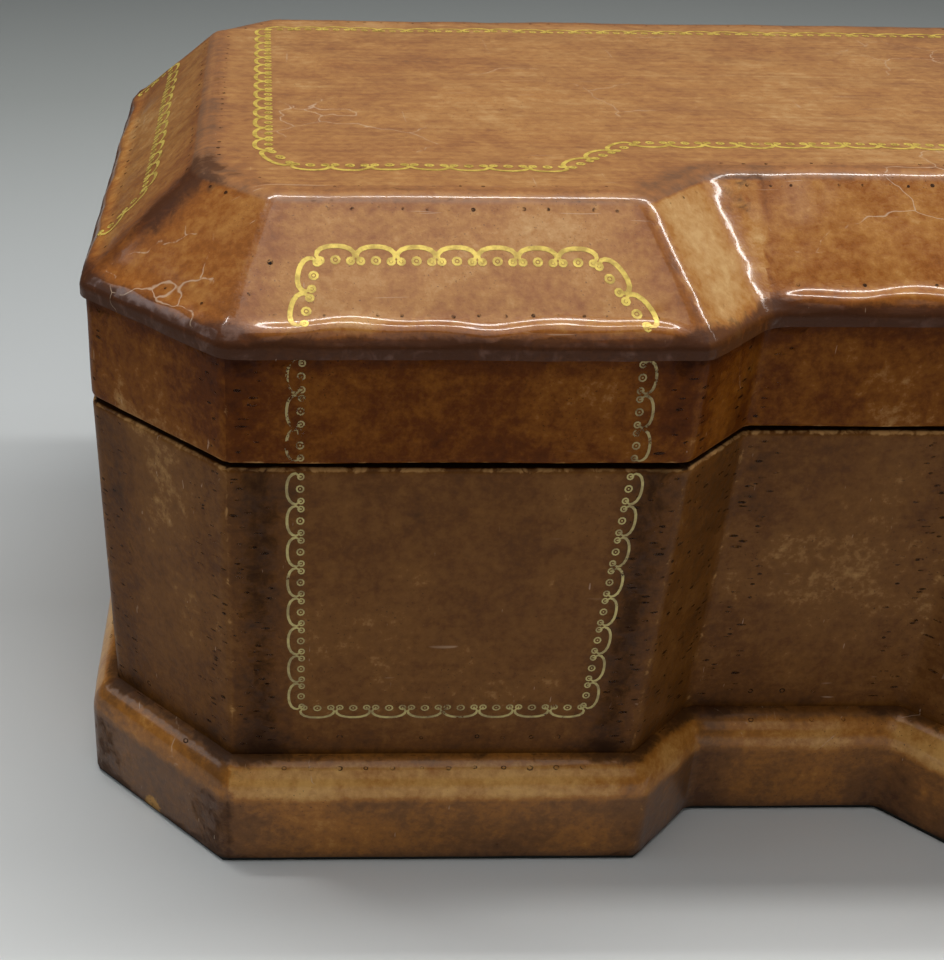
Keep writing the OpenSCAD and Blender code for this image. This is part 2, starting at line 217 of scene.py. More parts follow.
def gridCuts(pitch, axes="xyz"):
    # cuts the open piece into small faces, so that it can take unevenness
    data = bmesh.from_edit_mesh(bpy.context.object.data)
    low = [min(v.co[k] for v in data.verts) for k in range(3)]
    high = [max(v.co[k] for v in data.verts) for k in range(3)]
    bpy.ops.mesh.select_mode(type="FACE")
    for axis in axes:
        k = "xyz".index(axis)
        count = int((high[k] - low[k]) / pitch)
        for i in range(1, count):
            place, way = [0, 0, 0], [0, 0, 0]
            place[k], way[k] = low[k] + (high[k] - low[k]) * i / count, 1
            bpy.ops.mesh.select_all(action="SELECT")
            bpy.ops.mesh.bisect(plane_co=place, plane_no=way)


def applyModifiers(piece):
    only(piece)
    for modifier in list(piece.modifiers):
        bpy.ops.object.modifier_apply(modifier=modifier.name)


def waver(piece, strength, size, depth=1):
    # soft unevenness, out along the surface
    texture = bpy.data.textures.new(piece.name + "Waver", "CLOUDS")
    texture.noise_scale = size
    texture.noise_depth = depth
    modifier = piece.modifiers.new("waver", "DISPLACE")
    modifier.texture = texture
    modifier.texture_coords = "LOCAL"
    modifier.strength = strength
    modifier.mid_level = 0.5
    applyModifiers(piece)


def points(piece):
    co = np.zeros(len(piece.data.vertices) * 3)
    piece.data.vertices.foreach_get("co", co)
    return co.reshape(-1, 3)


def paint(piece, name, values):
    attribute = piece.data.attributes.get(name) or piece.data.attributes.new(name, "FLOAT", "POINT")
    attribute.data.foreach_set("value", np.clip(values, 0, 1).astype(np.float32))


def smooth(piece, angle):
    only(piece)
    bpy.ops.object.shade_smooth_by_angle(angle=math.radians(angle))


def normals(piece):
    co = np.zeros(len(piece.data.vertices) * 3)
    piece.data.vertex_normals.foreach_get("vector", co)
    return co.reshape(-1, 3)


def move(piece, offsets):
    piece.data.vertices.foreach_set("co", (points(piece) + offsets).ravel())
    piece.data.update()


def cover(piece, material):
    piece.data.materials.clear()
    piece.data.materials.append(material)


def finish(piece, body, material, replaces=()):
    cover(piece, material)
    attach(piece, body)
    if replaces:
        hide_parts(*replaces)
    return piece


class Amount:
    # a number that varies over a surface, with arithmetic
    def __init__(self, look, socket):
        self.look, self.socket = look, socket

    def sum(self, operation, *others):
        return self.look.node("ShaderNodeMath", {i: v for i, v in enumerate(others)}, operation=operation)

    def __add__(self, other): return self.sum("ADD", self, other)
    def __radd__(self, other): return self.sum("ADD", other, self)
    def __sub__(self, other): return self.sum("SUBTRACT", self, other)
    def __rsub__(self, other): return self.sum("SUBTRACT", other, self)
    def __mul__(self, other): return self.sum("MULTIPLY", self, other)
    def __rmul__(self, other): return self.sum("MULTIPLY", other, self)
    def __truediv__(self, other): return self.sum("DIVIDE", self, other)
    def __pow__(self, other): return self.sum("POWER", self, other)
    def least(self, other): return self.sum("MINIMUM", self, other)
    def most(self, other): return self.sum("MAXIMUM", self, other)


class Look:
    # a material made of nodes around one Principled shader
    def __init__(self, name, **constants):
        self.material = bpy.data.materials.new(name)
        self.material.use_nodes = True
        self.tree = self.material.node_tree
        self.tree.nodes.clear()
        self.shader = self.tree.nodes.new("ShaderNodeBsdfPrincipled")
        output = self.tree.nodes.new("ShaderNodeOutputMaterial")
        self.tree.links.new(self.shader.outputs[0], output.inputs["Surface"])
        self.place = self.node("ShaderNodeTexCoord", output="Object")
        for socket, value in constants.items():
            self.set(self.shader, socket, value)

    def set(self, node, socket, value):
        if isinstance(value, Amount):
            self.tree.links.new(value.socket, node.inputs[socket])
        else:
            kind = node.inputs[socket].type
            node.inputs[socket].default_value = (*value, 1) if kind == "RGBA" and len(value) == 3 else value

    def node(self, kind, inputs=None, output=0, stops=None, **settings):
        node = self.tree.nodes.new(kind)
        for name, value in settings.items():
            setattr(node, name, value)
        if stops:
            ramp = node.color_ramp
            while len(ramp.elements) < len(stops):
                ramp.elements.new(0.5)
            for element, (at, colour) in zip(ramp.elements, stops):
                element.position = at
                element.color = (*colour, 1) if isinstance(colour, tuple) else (colour, colour, colour, 1)
        for socket, value in (inputs or {}).items():
            self.set(node, socket, value)
        return Amount(self, node.outputs[output])

    def shade(self, **links):
        for socket, value in links.items():
            self.set(self.shader, socket.replace("_", " "), value)

    def noise(self, size, detail=3, rough=0.5, warp=0, place=None):
        return self.node("ShaderNodeTexNoise", {"Vector": place or self.place, "Scale": 1 / size,
                                                "Detail": detail, "Roughness": rough, "Distortion": warp})

    def cells(self, size, feature="F1", place=None):
        return self.node("ShaderNodeTexVoronoi", {"Vector": place or self.place, "Scale": 1 / size},
                         feature=feature)

    def stretched(self, scale, turn=(0, 0, 0), shift=(0, 0, 0)):
        return self.node("ShaderNodeMapping", {"Vector": self.place, "Scale": scale, "Rotation": turn,
                                               "Location": shift})

    def ramp(self, amount, *stops):
        return self.node("ShaderNodeValToRGB", {"Fac": amount}, stops=stops)

    def step(self, amount, low, high):
        return self.node("ShaderNodeMapRange", {"Value": amount, "From Min": low, "From Max": high},
                         interpolation_type="SMOOTHSTEP")

    def mix(self, factor, first, second, blend="MIX"):
        return self.node("ShaderNodeMix", {0: factor, 6: first, 7: second}, output=2, data_type="RGBA",
                         blend_type=blend)

    def painted(self, name):
        return self.node("ShaderNodeAttribute", output="Fac", attribute_name=name)

    def bump(self, height, distance, strength=1.0, under=None):
        inputs = {"Height": height, "Distance": distance, "Strength": strength}
        if under:
            inputs["Normal"] = under
        return self.node("ShaderNodeBump", inputs)


def leatherLook(name, deep, ground, light, raw, gloss, coat, shine, streaks=0.3):
    look = Look(name, **{"Specular IOR Level": shine, "Coat Roughness": 0.11})
    rub, soil, edge, vein, flat = (look.painted(one) for one in ("rub", "soil", "edge", "vein", "flat"))
    clouds = look.noise(40 * mm, 2, 0.5, 0.4)
    mottle = look.noise(9 * mm, 3, 0.6, 0.3)
    fine = look.noise(1.7 * mm, 3, 0.7)
    patches = look.noise(3.4 * mm, 3, 0.65, 0.8)
    pores = look.noise(0.45 * mm, 1, 0.5)
    grain = look.noise(1, 3, 0.65, 0, look.stretched((30, 700, 420), shift=(1, 4, 2)))

    # Lightening comes from rubbed wear and from painted light, darkening from dirt and from painted shade; the
    # masks for both are painted on each piece below.
    tone = (0.5 + (clouds - 0.5) * 0.7 + (mottle - 0.5) * 0.55 + (fine - 0.5) * 0.55 + (patches - 0.5) * 0.3
            + (grain - 0.5) * (0.15 + flat * streaks) + rub * 0.42 - soil * 0.5)
    base = look.ramp(tone, (0.08, deep), (0.4, ground), (0.64, light), (1.0, raw))
    worn = look.step(edge + (patches - 0.5) * 1.6, 0.62, 1.0)
    # painted sheen: the flat top is mixed a fifth of the way towards a pale tan, for the haze its gloss
    # reflects
    base = look.mix(flat * 0.2, look.mix(worn * 0.8, base, raw), (0.5, 0.33, 0.2))
    # The darkening mask of dirt and painted shade turns the colour towards near black and thins the gloss
    # coat.
    grimeAndShade = look.step(soil + (patches - 0.5) * 1.5 + (mottle - 0.5) * 0.6, 0.5, 1.0)
    black = tuple(c * 0.4 for c in deep)
    base = look.mix(grimeAndShade * 0.75, base, black)
    pits = look.step(pores, 0.68, 0.78) * look.step(clouds + mottle * 0.4, 0.66, 0.8)
    base = look.mix(pits * 0.7, base, black)

    swerve = look.node("ShaderNodeTexNoise", {"Vector": look.place, "Scale": 70, "Detail": 3}, output="Color")
    bent = look.node("ShaderNodeVectorMath", {0: look.place, 1: look.node(
        "ShaderNodeVectorMath", {0: swerve, "Scale": 14 * mm}, operation="SCALE")}, operation="ADD")
    cracks = look.cells(21 * mm, "DISTANCE_TO_EDGE", bent)
    crack = (1 - look.step(cracks, 0.001, 0.009)) * look.step(vein + (patches - 0.5) * 1.5, 0.3, 0.62)
    scratch = look.noise(1, 2, 0.5, 0, look.stretched((1300, 35, 200), (0.2, 0.1, 0.9)))
    scratches = look.step(scratch, 0.73, 0.76) * look.step(mottle, 0.5, 0.6)
    crossScratch = look.noise(1, 2, 0.5, 0, look.stretched((45, 1500, 300), (0.1, 0.3, 0.25), (3, 1, 2)))
    scratches = scratches.most(look.step(crossScratch, 0.71, 0.735) * look.step(clouds, 0.48, 0.58))
    base = look.mix((crack * 0.62).most(scratches * 0.42), base, (0.62, 0.44, 0.3))

    rough = gloss + (mottle - 0.5) * 0.2 + (fine - 0.5) * 0.25 + worn * 0.25 + grimeAndShade * 0.2 + crack * 0.2
    relief = look.bump(fine * 1.0 + pores * 0.35, 0.12 * mm, 0.7)
    look.shade(Base_Color=base, Roughness=rough, Coat_Weight=coat - worn * 0.4 - grimeAndShade * 0.55, Normal=relief)
    return look.material


brown = leatherLook("glazedLeather", (0.12, 0.032, 0.004), (0.3, 0.094, 0.011), (0.44, 0.185, 0.036),
                    (0.64, 0.38, 0.15), 0.36, 0.62, 0.2, 0.34)
# the band's leather is darker and redder than the walls', partly as painted shade under the rolled edge
bandBrownShaded = leatherLook("bandLeather", (0.042, 0.008, 0.0004), (0.112, 0.026, 0.001), (0.22, 0.07, 0.006),
                        (0.55, 0.3, 0.11), 0.4, 0.05, 0.05)
darkBrown = leatherLook("wallLeather", (0.052, 0.017, 0.0025), (0.133, 0.046, 0.006), (0.2, 0.08, 0.015),
                        (0.55, 0.3, 0.11), 0.44, 0.07, 0.09)
plinthBrown = leatherLook("plinthLeather", (0.1, 0.034, 0.006), (0.22, 0.085, 0.016), (0.4, 0.15, 0.021),
                          (0.68, 0.36, 0.1), 0.36, 0.35, 0.2)


def fromLine(co, a, b):
    # distance in plan from each point to the line between two corners
    a, b = np.array(a), np.array(b)
    along = np.clip(((co[:, :2] - a) @ (b - a)) / ((b - a) @ (b - a)), 0, 1)
    return np.linalg.norm(co[:, :2] - a - along[:, None] * (b - a), axis=1)


def wallDistances(co, grow):
    ring = corners(grow)
    return [fromLine(co, a, b) for a, b in zip(ring, ring[1:] + ring[:1])]


def ringDistance(co, grow):
    # distance in plan to the outline at depth grow
    return np.min(wallDistances(co, grow), axis=0)


def panel(co):
    # which of the plan's twelve walls each point belongs to
    return np.argmin(wallDistances(co, 0), axis=0)


def mitreDistance(co):
    # distance in plan from each point to the nearest line along which two panels meet
    lines = zip(corners(case["plinthOut"]), corners(-case["bevelWidth"]))
    return np.min([fromLine(co, a, b) for a, b in lines], axis=0)


def near(distance, reach):
    return np.exp(-(distance / reach) ** 2)


def spots(co, places):
    # soft round patches, each a place and a reach in mm
    total = np.zeros(len(co))
    for x, y, z, reach in places:
        total += near(np.linalg.norm(co - np.array((x, y, z)) * mm, axis=1), reach * mm)
    return total


skin = {"pitch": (1.7 * mm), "round": 1.7 * mm, "rimRound": 0.9 * mm,
        "plinthRound": 1.5 * mm, "lidRound": 1.9 * mm, "recessRound": 3.6 * mm,
        "waver": 0.45 * mm, "waverSize": 22 * mm, "lidWaver": 0.28 * mm, "lidWaverSize": 9 * mm}


def roundWall(atRim):
    # rounds the upright corners of a wall and the rim that atRim finds, then cuts it into small faces
    roundEdges(lambda e: bend(e) > math.radians(20) and climb(e) > 9 * mm, skin["round"], 4)
    roundEdges(lambda e: bend(e) > math.radians(60) and all(atRim(v.co.z) for v in e.verts),
               skin["rimRound"], 3)
    gridCuts(skin["pitch"])


# the walls, from the seam down, with the edge turned in over the boards
fall = case["caseTop"] - case["plinthTop"]
caseLeather = outline("caseLeather", 0, case["caseTop"], faceUp=False)
rise([(case["taper"], fall + 0.6 * mm)])
bpy.ops.mesh.delete(type="FACE")
turnIn(case["caseTop"], case["boardIn"])
roundWall(lambda z: z > case["caseTop"] - 0.1 * mm)

# the plinth, from its foot up round the moulding to the wall
plinthLeather = outline("plinthLeather", case["plinthOut"], case["baize"])
ovalSteps = 8
reach, lift = case["plinthOut"] + case["taper"], case["plinthTop"] - case["plinthFace"]
ovalTurns = [math.radians(90 * k / ovalSteps) for k in range(ovalSteps + 1)]
rise([(0, case["plinthFace"] - case["baize"])]
     + [(reach * (math.cos(a) - math.cos(b)), lift * (math.sin(b) - math.sin(a)))
        for a, b in zip(ovalTurns, ovalTurns[1:])])
bpy.ops.mesh.delete(type="FACE")
roundEdges(lambda e: bend(e) > math.radians(8) and climb(e) > 0.05 * mm, skin["plinthRound"], 3)
gridCuts(skin["pitch"])

# the lid's upright band, its lower edge turned in
lidBandLeather = outline("lidBandLeather", 0, case["lidBottom"])
rise([(0, case["rollFoot"] + 0.5 * mm - case["lidBottom"])])
bpy.ops.mesh.delete(type="FACE")
turnIn(case["lidBottom"], case["lidBoardIn"])
roundWall(lambda z: z < case["lidBottom"] + 0.1 * mm)

# the lid's rolled edge, bevels and flat top
bead = {"step": 0.55 * mm, "rings": 12, "swell": 0.7 * mm, "at": 1.6 * mm, "reach": 1.6 * mm,
        "hollow": 0.1 * mm, "hollowAt": 5.2 * mm, "hollowReach": 2.2 * mm, "wander": 0.45 * mm,
        "wave": 6.3 * mm, "ripple": 2.9 * mm}
slope = math.atan2(case["bevelWidth"], case["top"] - case["shoulder"])
radius, out = case["rollRadius"], case["rollOut"]
stepIn, stepUp = bead["step"] * math.sin(slope), bead["step"] * math.cos(slope)
startsAt = case["shoulder"] - (out - radius) / math.tan(slope) - radius / math.sin(slope)
rollTurns = [slope * k / 6 for k in range(7)]
lidLeather = outline("lidLeather", out, case["rollFoot"])
rise([(0, 0.6 * mm), (0, startsAt - case["rollFoot"] - 0.6 * mm)]
     + [(radius * (math.cos(a) - math.cos(b)), radius * (math.sin(b) - math.sin(a)))
        for a, b in zip(rollTurns, rollTurns[1:])]
     + [(stepIn, stepUp)] * bead["rings"]
     + [(case["bevelWidth"] + out - radius * (1 - math.cos(slope)) - bead["rings"] * stepIn,
         case["top"] - startsAt - radius * math.sin(slope) - bead["rings"] * stepUp)])
turnIn(case["rollFoot"], out)
roundEdges(lambda e: bend(e) > math.radians(12) and not inRecess(e)
           and (climb(e) > 0.05 * mm or e.verts[0].co.z > case["top"] - 0.1 * mm), skin["lidRound"], 4)
roundEdges(lambda e: bend(e) > math.radians(12) and inRecess(e), skin["recessRound"], 5)
gridCuts(skin["pitch"])
toObject()

walls = {"cut": (0, 6, 8, 10), "steps": (2, 4), "recess": 3, "frontEnds": (1, 5)}  # numbers from panel

# the lid's lower edge swells into a bead, except on the two steps and round the front corners
co = points(lidLeather)
above = (co[:, 2] - case["shoulder"]) / math.cos(slope)
onBevel = (co[:, 2] > startsAt) & (co[:, 2] < case["top"] - 6 * mm)
fade = np.clip((mitreDistance(co) - 1 * mm) / (5 * mm), 0, 1)
fade = np.where(np.isin(panel(co), walls["cut"]), 0.5, fade)
fade = np.where(np.isin(panel(co), walls["steps"]), 0.05, fade)
wander = bead["wander"] * (np.sin((co[:, 0] + co[:, 1]) / bead["wave"])
                           + 0.7 * np.sin((co[:, 0] - co[:, 1]) / bead["ripple"]))
swell = (bead["swell"] * near(above - bead["at"] - wander, bead["reach"])
         - bead["hollow"] * near(above - bead["hollowAt"], bead["hollowReach"]))
move(lidLeather, normals(lidLeather) * np.where(onBevel, swell * fade, 0)[:, None])

for piece in (caseLeather, plinthLeather, lidBandLeather, lidLeather):
    waver(piece, skin["waver"], skin["waverSize"])
    if piece is lidLeather:
        waver(piece, skin["lidWaver"], skin["lidWaverSize"])
    smooth(piece, 60)
    co = points(piece)
    z, which, fromMitre, fromFace = co[:, 2], panel(co), mitreDistance(co), ringDistance(co, 0)
    cutCorner, stepWall = np.isin(which, walls["cut"]), np.isin(which, walls["steps"])
    recessWall = which == walls["recess"]
    isTop = z > case["top"] - 1.4 * mm
    edge = near(fromMitre, 1.2 * mm) * 0.6
    rub, soil, vein = np.zeros(len(co)), np.zeros(len(co)), np.zeros(len(co))
    paint(piece, "flat", isTop.astype(float))
    if piece is lidLeather:
        ridge = ringDistance(co, -case["bevelWidth"])
        edge = np.where(isTop, near(ridge, 1.6 * mm) * 0.45, edge * 0.75)
        rub = np.where(~isTop & stepWall, near(fromMitre - 9 * mm, 9 * mm) * 1.3 + 0.2, 0.12)
        rub = np.where(~isTop & cutCorner, 0.05, rub)
        # painted shade: darker from just above the bead's crest down over its lower flank and the roll's
        # downward-facing underside, most at the roll's foot
        soil = np.clip((122.2 * mm - z) / (2.6 * mm), 0, 1) + near(z - 117.2 * mm, 1.6 * mm) * 0.5
        soil += np.where(isTop, 0, near(fromMitre, 5 * mm) * 0.4)
        soil = np.maximum(soil, near(ridge - 1.5 * mm, 2 * mm) * np.where(isTop, 0.5, 0.25))
        soil += spots(co, [(-129, -54.6, 139, 7), (-137, -60, 133, 6), (20, -62, 137, 4),
                           (-24, -60, 137, 5)]) * 0.7
        vein = spots(co, [(-104, -24, 139, 16), (-90, -36, 139, 10), (-62, 18, 139, 9), (-38, -5, 139, 14),
                          (8, -62, 131, 13), (16, -50, 139, 9), (-137, -78, 128, 13), (40, 30, 139, 18),
                          (96, -28, 139, 14), (88, 50, 139, 10), (120, -80, 128, 8), (60, 84, 126, 12)])
        vein = np.maximum(vein, np.where(~isTop & recessWall, 0.28, 0))
    elif piece is lidBandLeather:
        edge = np.maximum(edge * 0.8,
                          near(z - case["lidBottom"], 1.0 * mm) * 0.75 * near(fromFace, 1.6 * mm))
        # painted shade: the band's top is darkened under the overhanging roll
        soil = 0.05 + near(z - 116.5 * mm, 3 * mm) * 0.45 + near(fromMitre - 3 * mm, 4 * mm) * 0.25
        # painted shade: the turned-in edge inside the seam is painted near black for the dark gap
        soil += ((z < case["lidBottom"] + 0.4 * mm) & (fromFace > 0.6 * mm)) * 3.0
        vein = spots(co, [(30, -76, 105, 9), (-30, -84, 108, 7)]) * 0.6
        # painted light: the band is lighter on the corner, recess and step panels, and left dark on the front
        # bays as painted shade under the rolled edge
        rub = np.where(cutCorner, 0.45, np.where(recessWall, 0.4, np.where(stepWall, 0.3, 0.05)))
    elif piece is caseLeather:
        edge = np.maximum(edge, near(z - case["caseTop"], 1.0 * mm) * 0.95 * near(fromFace, 1.6 * mm))
        beside = near(fromMitre - 5.5 * mm, 4.5 * mm)
        strong = np.where(np.isin(which, walls["frontEnds"]), 0.62, np.where(stepWall | recessWall, 0.12, 0.3))
        # painted shade along the foot of the wall, in the crease above the plinth
        soil = 0.05 + near(z - 26 * mm, 3 * mm) * 0.35 + beside * strong
        # painted shade: the turned-in edge inside the seam is painted near black for the dark gap
        soil += ((z > case["caseTop"] - 0.4 * mm) & (fromFace > 0.6 * mm)) * 3.0
        # painted light: the diagonal corner walls are lightened for the sheen of the light from the left, the
        # recess wall a little
        rub = np.where(cutCorner, 0.22, np.where(recessWall, 0.12, 0.03))
    else:
        onSlope = np.clip((z - 16.5 * mm) / (2 * mm), 0, 1)
        # the moulding's upward slope is lightened, partly rubbed wear and partly painted light from above; it
        # is less on the diagonal corners, and halved in the recess as painted shade
        rub = onSlope * np.where(cutCorner, 0.3, np.where(recessWall, 0.5, 1.0))
        edge = edge * 0.8 + spots(co, [(-140.3, -79.4, 1.6, 3.2)]) * 1.6
        # painted shade on the upright face of the diagonal corner panels
        soil = (1 - onSlope) * np.where(cutCorner, 0.4, 0.04) + near(fromMitre - 3 * mm, 5 * mm) * 0.36
        # painted shade in the crease where the moulding meets the wall
        soil += near(z - 25 * mm, 1 * mm) * 0.7
        # painted contact shadow along the plinth's foot, next to the floor
        soil += near(z - case["baize"], 1.4 * mm) * 0.5
        vein = onSlope * near(fromMitre - 14 * mm, 9 * mm) * 0.35
    for name, values in (("edge", edge), ("rub", rub), ("soil", soil), ("vein", vein)):
        paint(piece, name, values)

finish(caseLeather, "case", darkBrown, ["case_leather"])
finish(plinthLeather, "case", plinthBrown, ["plinth_leather"])
finish(lidBandLeather, "lid", bandBrownShaded, ["lid_band_leather"])
finish(lidLeather, "lid", brown, ["lid_leather"])
print("leather stretched")


def stripAlong(piece, centres, widths):
    # lays a long grid along a centre line, its cross lines square to it
    centres = np.array(centres, float)
    along = np.gradient(centres, axis=0)
    along /= np.linalg.norm(along, axis=1)[:, None]
    across = np.stack([-along[:, 1], along[:, 0]], 1)
    order = sorted(range(len(piece.data.vertices)), key=lambda i: (round(piece.data.vertices[i].co.x, 6),
                                                                   piece.data.vertices[i].co.y))
    for step, (centre, way, width) in enumerate(zip(centres, across, widths)):
        for index, side in zip(order[2 * step:2 * step + 2], (-1, 1)):
            piece.data.vertices[index].co = (*(centre + way * side * width), 0)


def curlMotif(name, line, ringLine):
    # one arc with curled ends, over a row of small rings, drawn flat in mm units
    arc = [(-2.55, -0.35), (-3.05, -0.1), (-3.4, 0.5), (-3.2, 1.2), (-2.6, 1.8), (-1.6, 2.2), (-0.6, 2.35),
           (0.6, 2.35), (1.6, 2.2), (2.6, 1.8), (3.2, 1.2), (3.4, 0.5), (3.05, -0.1), (2.55, -0.35)]
    deselect()
    bpy.ops.mesh.primitive_grid_add(x_subdivisions=len(arc) - 1, y_subdivisions=1, size=1)
    piece = bpy.context.object
    piece.name = name
    weights = [0.6, 0.75, 0.95] + [1.15] * (len(arc) - 6) + [0.95, 0.75, 0.6]
    stripAlong(piece, arc, [line / 2 * weight for weight in weights])
    toEdit()
    for x, y, radius in ((-2.7, -0.55, 0.62), (0, -0.4, 0.72), (2.7, -0.55, 0.62)):
        bpy.ops.mesh.select_all(action="DESELECT")
        bpy.ops.mesh.primitive_circle_add(vertices=9, radius=radius + ringLine / 2, fill_type="NGON",
                                          location=(x, y, 0))
        bpy.ops.mesh.inset(thickness=ringLine)
        bpy.ops.mesh.delete(type="FACE")
        bpy.ops.mesh.primitive_circle_add(vertices=6, radius=ringLine * 0.62, fill_type="NGON",
                                          location=(x, y, 0))
    toObject()
    return piece


def dotMotif(name, radius, hollow=0.0):
    deselect()
    bpy.ops.mesh.primitive_circle_add(vertices=8, radius=radius, fill_type="NGON")
    piece = bpy.context.object
    piece.name = name
    if hollow:
        toEdit()
        bpy.ops.mesh.select_all(action="SELECT")
        bpy.ops.mesh.inset(thickness=hollow)
        bpy.ops.mesh.delete(type="FACE")
        toObject()
    return piece


def dashMotif(name, length, width):
    deselect()
    bpy.ops.mesh.primitive_grid_add(x_subdivisions=3, y_subdivisions=1, size=1)
    piece = bpy.context.object
    piece.name = name
    stripAlong(piece, [(-length / 2, 0), (-length / 6, 0.03), (length / 6, -0.03), (length / 2, 0)],
               [width * 0.25, width / 2, width / 2, width * 0.2])
    return piece


def strew(name, motif, places, lift, onto):
    # copies of one motif in one mesh, pressed onto leather; a place is (point, along, outwards, scales)
    shape = points(motif)
    faces = [list(p.vertices) for p in motif.data.polygons]
    verts, sides = [], []
    for at, along, outwards, (sx, sy) in places:
        for face in faces:
            sides.append([i + len(verts) for i in face])
        verts += [tuple(at + along * x * sx * mm + outwards * y * sy * mm) for x, y, z in shape]
    piece = newPiece(name, verts, sides)
    press = piece.modifiers.new("press", "SHRINKWRAP")
    press.target = onto
    press.wrap_method = "NEAREST_SURFACEPOINT"
    press.wrap_mode = "ABOVE_SURFACE"
    press.offset = lift
    applyModifiers(piece)
    smooth(piece, 60)
    return piece


def run(line, centre, pitch, closed=False, stretch=1.0):
    # places along straight lines on the case's faces, the motif's outer side away from the centre
    places, centre = [], Vector(centre) * mm
    line = [Vector(p) * mm for p in line]
    for start, end in list(zip(line, line[1:])) + ([(line[-1], line[0])] if closed else []):
        along = (end - start).normalized()
        mid = (start + end) / 2
        off = mid - centre
        off -= along * off.dot(along)
        outwards = faceNormal(mid).cross(along).normalized()
        if outwards.dot(off) < 0:
            along, outwards = -along, -outwards
            start, end = end, start
        count = max(1, round((end - start).length / (pitch * mm)))
        step = (end - start) / count
        for i in range(count):
            places.append((start + step * (i + 0.5), along, outwards, (step.length / mm / pitch, stretch)))
    return places


def faceNormal(at):
    # the outward direction of the case's face at a point
    if at.z > 138.5 * mm:
        return Vector((0, 0, 1))
    i = int(panel(np.array([at]))[0])
    a, b = (Vector((*corners(0)[k % 12], 0)) for k in (i, i + 1))
    flat = (b - a).cross(Vector((0, 0, 1))).normalized()
    if at.z > 119 * mm:
        return (flat * (case["top"] - case["shoulder"]) + Vector((0, 0, 1)) * case["bevelWidth"]).normalized()
    return flat


tooling = {"pitch": 7.2, "lift": 0.05 * mm, "bold": 0.78, "boldRing": 0.46, "fine": 0.5, "fineRing": 0.32,
           "narrow": 0.9}
bold = curlMotif("boldMotif", tooling["bold"], tooling["boldRing"])
thin = curlMotif("thinMotif", tooling["fine"], tooling["fineRing"])


def mirrored(line):
    return [(-x, y, z) for x, y, z in line]


bayTop = [(-109.7, -89.6, 121.2), (-107, -79.1, 130.2), (-56.7, -79.3, 130.1), (-48.2, -89.6, 121.2)]
bayBand = [[(-109.8, -91, 116.3), (-109.8, -91, 95.6)], [(-48.9, -91, 116.3), (-47.8, -91, 95.6)]]
bayWall = [(-109.7, -91, 93.4), (-108.6, -89.6, 37), (-50.2, -89.6, 37), (-48, -91, 93.4)]
endTop = [(-148.6, -46, 121.2), (-139.6, -39, 129), (-139.6, 57, 129), (-148.6, 57, 121.2)]
endBand = [[(-150, -46, 116.3), (-150, -46, 95.6)], [(-150, 57, 116.3), (-150, 57, 95.6)]]
endWall = [(-150, -46, 93.4), (-148.6, -46, 37), (-148.6, 57, 37), (-150, 57, 93.4)]
backTop = [(-109, 89.6, 121.2), (-104, 79.3, 130.1), (104, 79.3, 130.1), (109, 89.6, 121.2)]
backBand = [[(-109, 91, 116.3), (-109, 91, 95.6)], [(109, 91, 116.3), (109, 91, 95.6)]]
backWall = [(-109, 91, 93.4), (-109, 89.6, 37), (109, 89.6, 37), (109, 91, 93.4)]
topFrame = [(-115.5, 57, 139), (-115.5, -45, 139), (-111, -54.3, 139), (-58.5, -54.5, 139),
            (-42.5, -38.5, 139), (42.5, -38.5, 139), (58.5, -54.5, 139), (111, -54.3, 139),
            (115.5, -45, 139), (115.5, 57, 139)]

pitch = tooling["pitch"]
lidPlaces = run(topFrame, (0, 0, 139), pitch, closed=True)
for line, centre in ((bayTop, (-79, -89, 121)), (mirrored(bayTop), (79, -89, 121)), (endTop, (-148, 5, 121)),
                     (mirrored(endTop), (148, 5, 121)), (backTop, (0, 89, 121))):
    lidPlaces += run(line, centre, pitch)
bandPlaces, casePlaces = [], []
for bands, centre in ((bayBand, (-79, -91, 106)), ([mirrored(one) for one in bayBand], (79, -91, 106)),
                      (endBand, (-150, 5, 106)), ([mirrored(one) for one in endBand], (150, 5, 106)),
                      (backBand, (0, 91, 106))):
    for one in bands:
        bandPlaces += run(one, centre, pitch, stretch=tooling["narrow"])
for line, centre in ((bayWall, (-79, -91, 70)), (mirrored(bayWall), (79, -91, 70)), (endWall, (-150, 5, 70)),
                     (mirrored(endWall), (150, 5, 70)), (backWall, (0, 91, 70))):
    casePlaces += run(line, centre, pitch, stretch=tooling["narrow"])
lidGilt = strew("lidGilt", bold, lidPlaces, tooling["lift"], lidLeather)
bandGilt = strew("bandGilt", thin, bandPlaces, tooling["lift"], lidBandLeather)
caseGilt = strew("caseGilt", thin, casePlaces, tooling["lift"], caseLeather)


def giltLook(name, bright, dull, lost, metallic):
    look = Look(name, **{"Specular IOR Level": 0.5})
    fine, blots = look.noise(0.55 * mm, 3, 0.7), look.noise(2.4 * mm, 3, 0.6)
    wide = look.noise(21 * mm, 2, 0.5)
    kept = look.step(fine * 0.5 + blots * 0.6 + wide * 0.5, lost, lost + 0.09)
    look.shade(Base_Color=look.mix(look.step(blots, 0.35, 0.62), dull, bright), Alpha=kept,
               Roughness=0.38 + (fine - 0.5) * 0.4, Metallic=metallic + (blots - 0.5) * 0.2,
               Normal=look.bump(fine, 0.08 * mm, 0.6))
    return look.material


slopeGilt = giltLook("brightGilt", (0.82, 0.61, 0.12), (0.5, 0.33, 0.06), 0.54, 0.25)
wornGilt = giltLook("rubbedGilt", (0.52, 0.42, 0.15), (0.3, 0.22, 0.08), 0.6, 0.25)
ghostGilt = giltLook("ghostGilt", (0.4, 0.3, 0.11), (0.17, 0.11, 0.035), 0.66, 0.25)
finish(lidGilt, "lid", slopeGilt)
finish(bandGilt, "lid", ghostGilt)
finish(caseGilt, "case", wornGilt)
print("gilt laid")

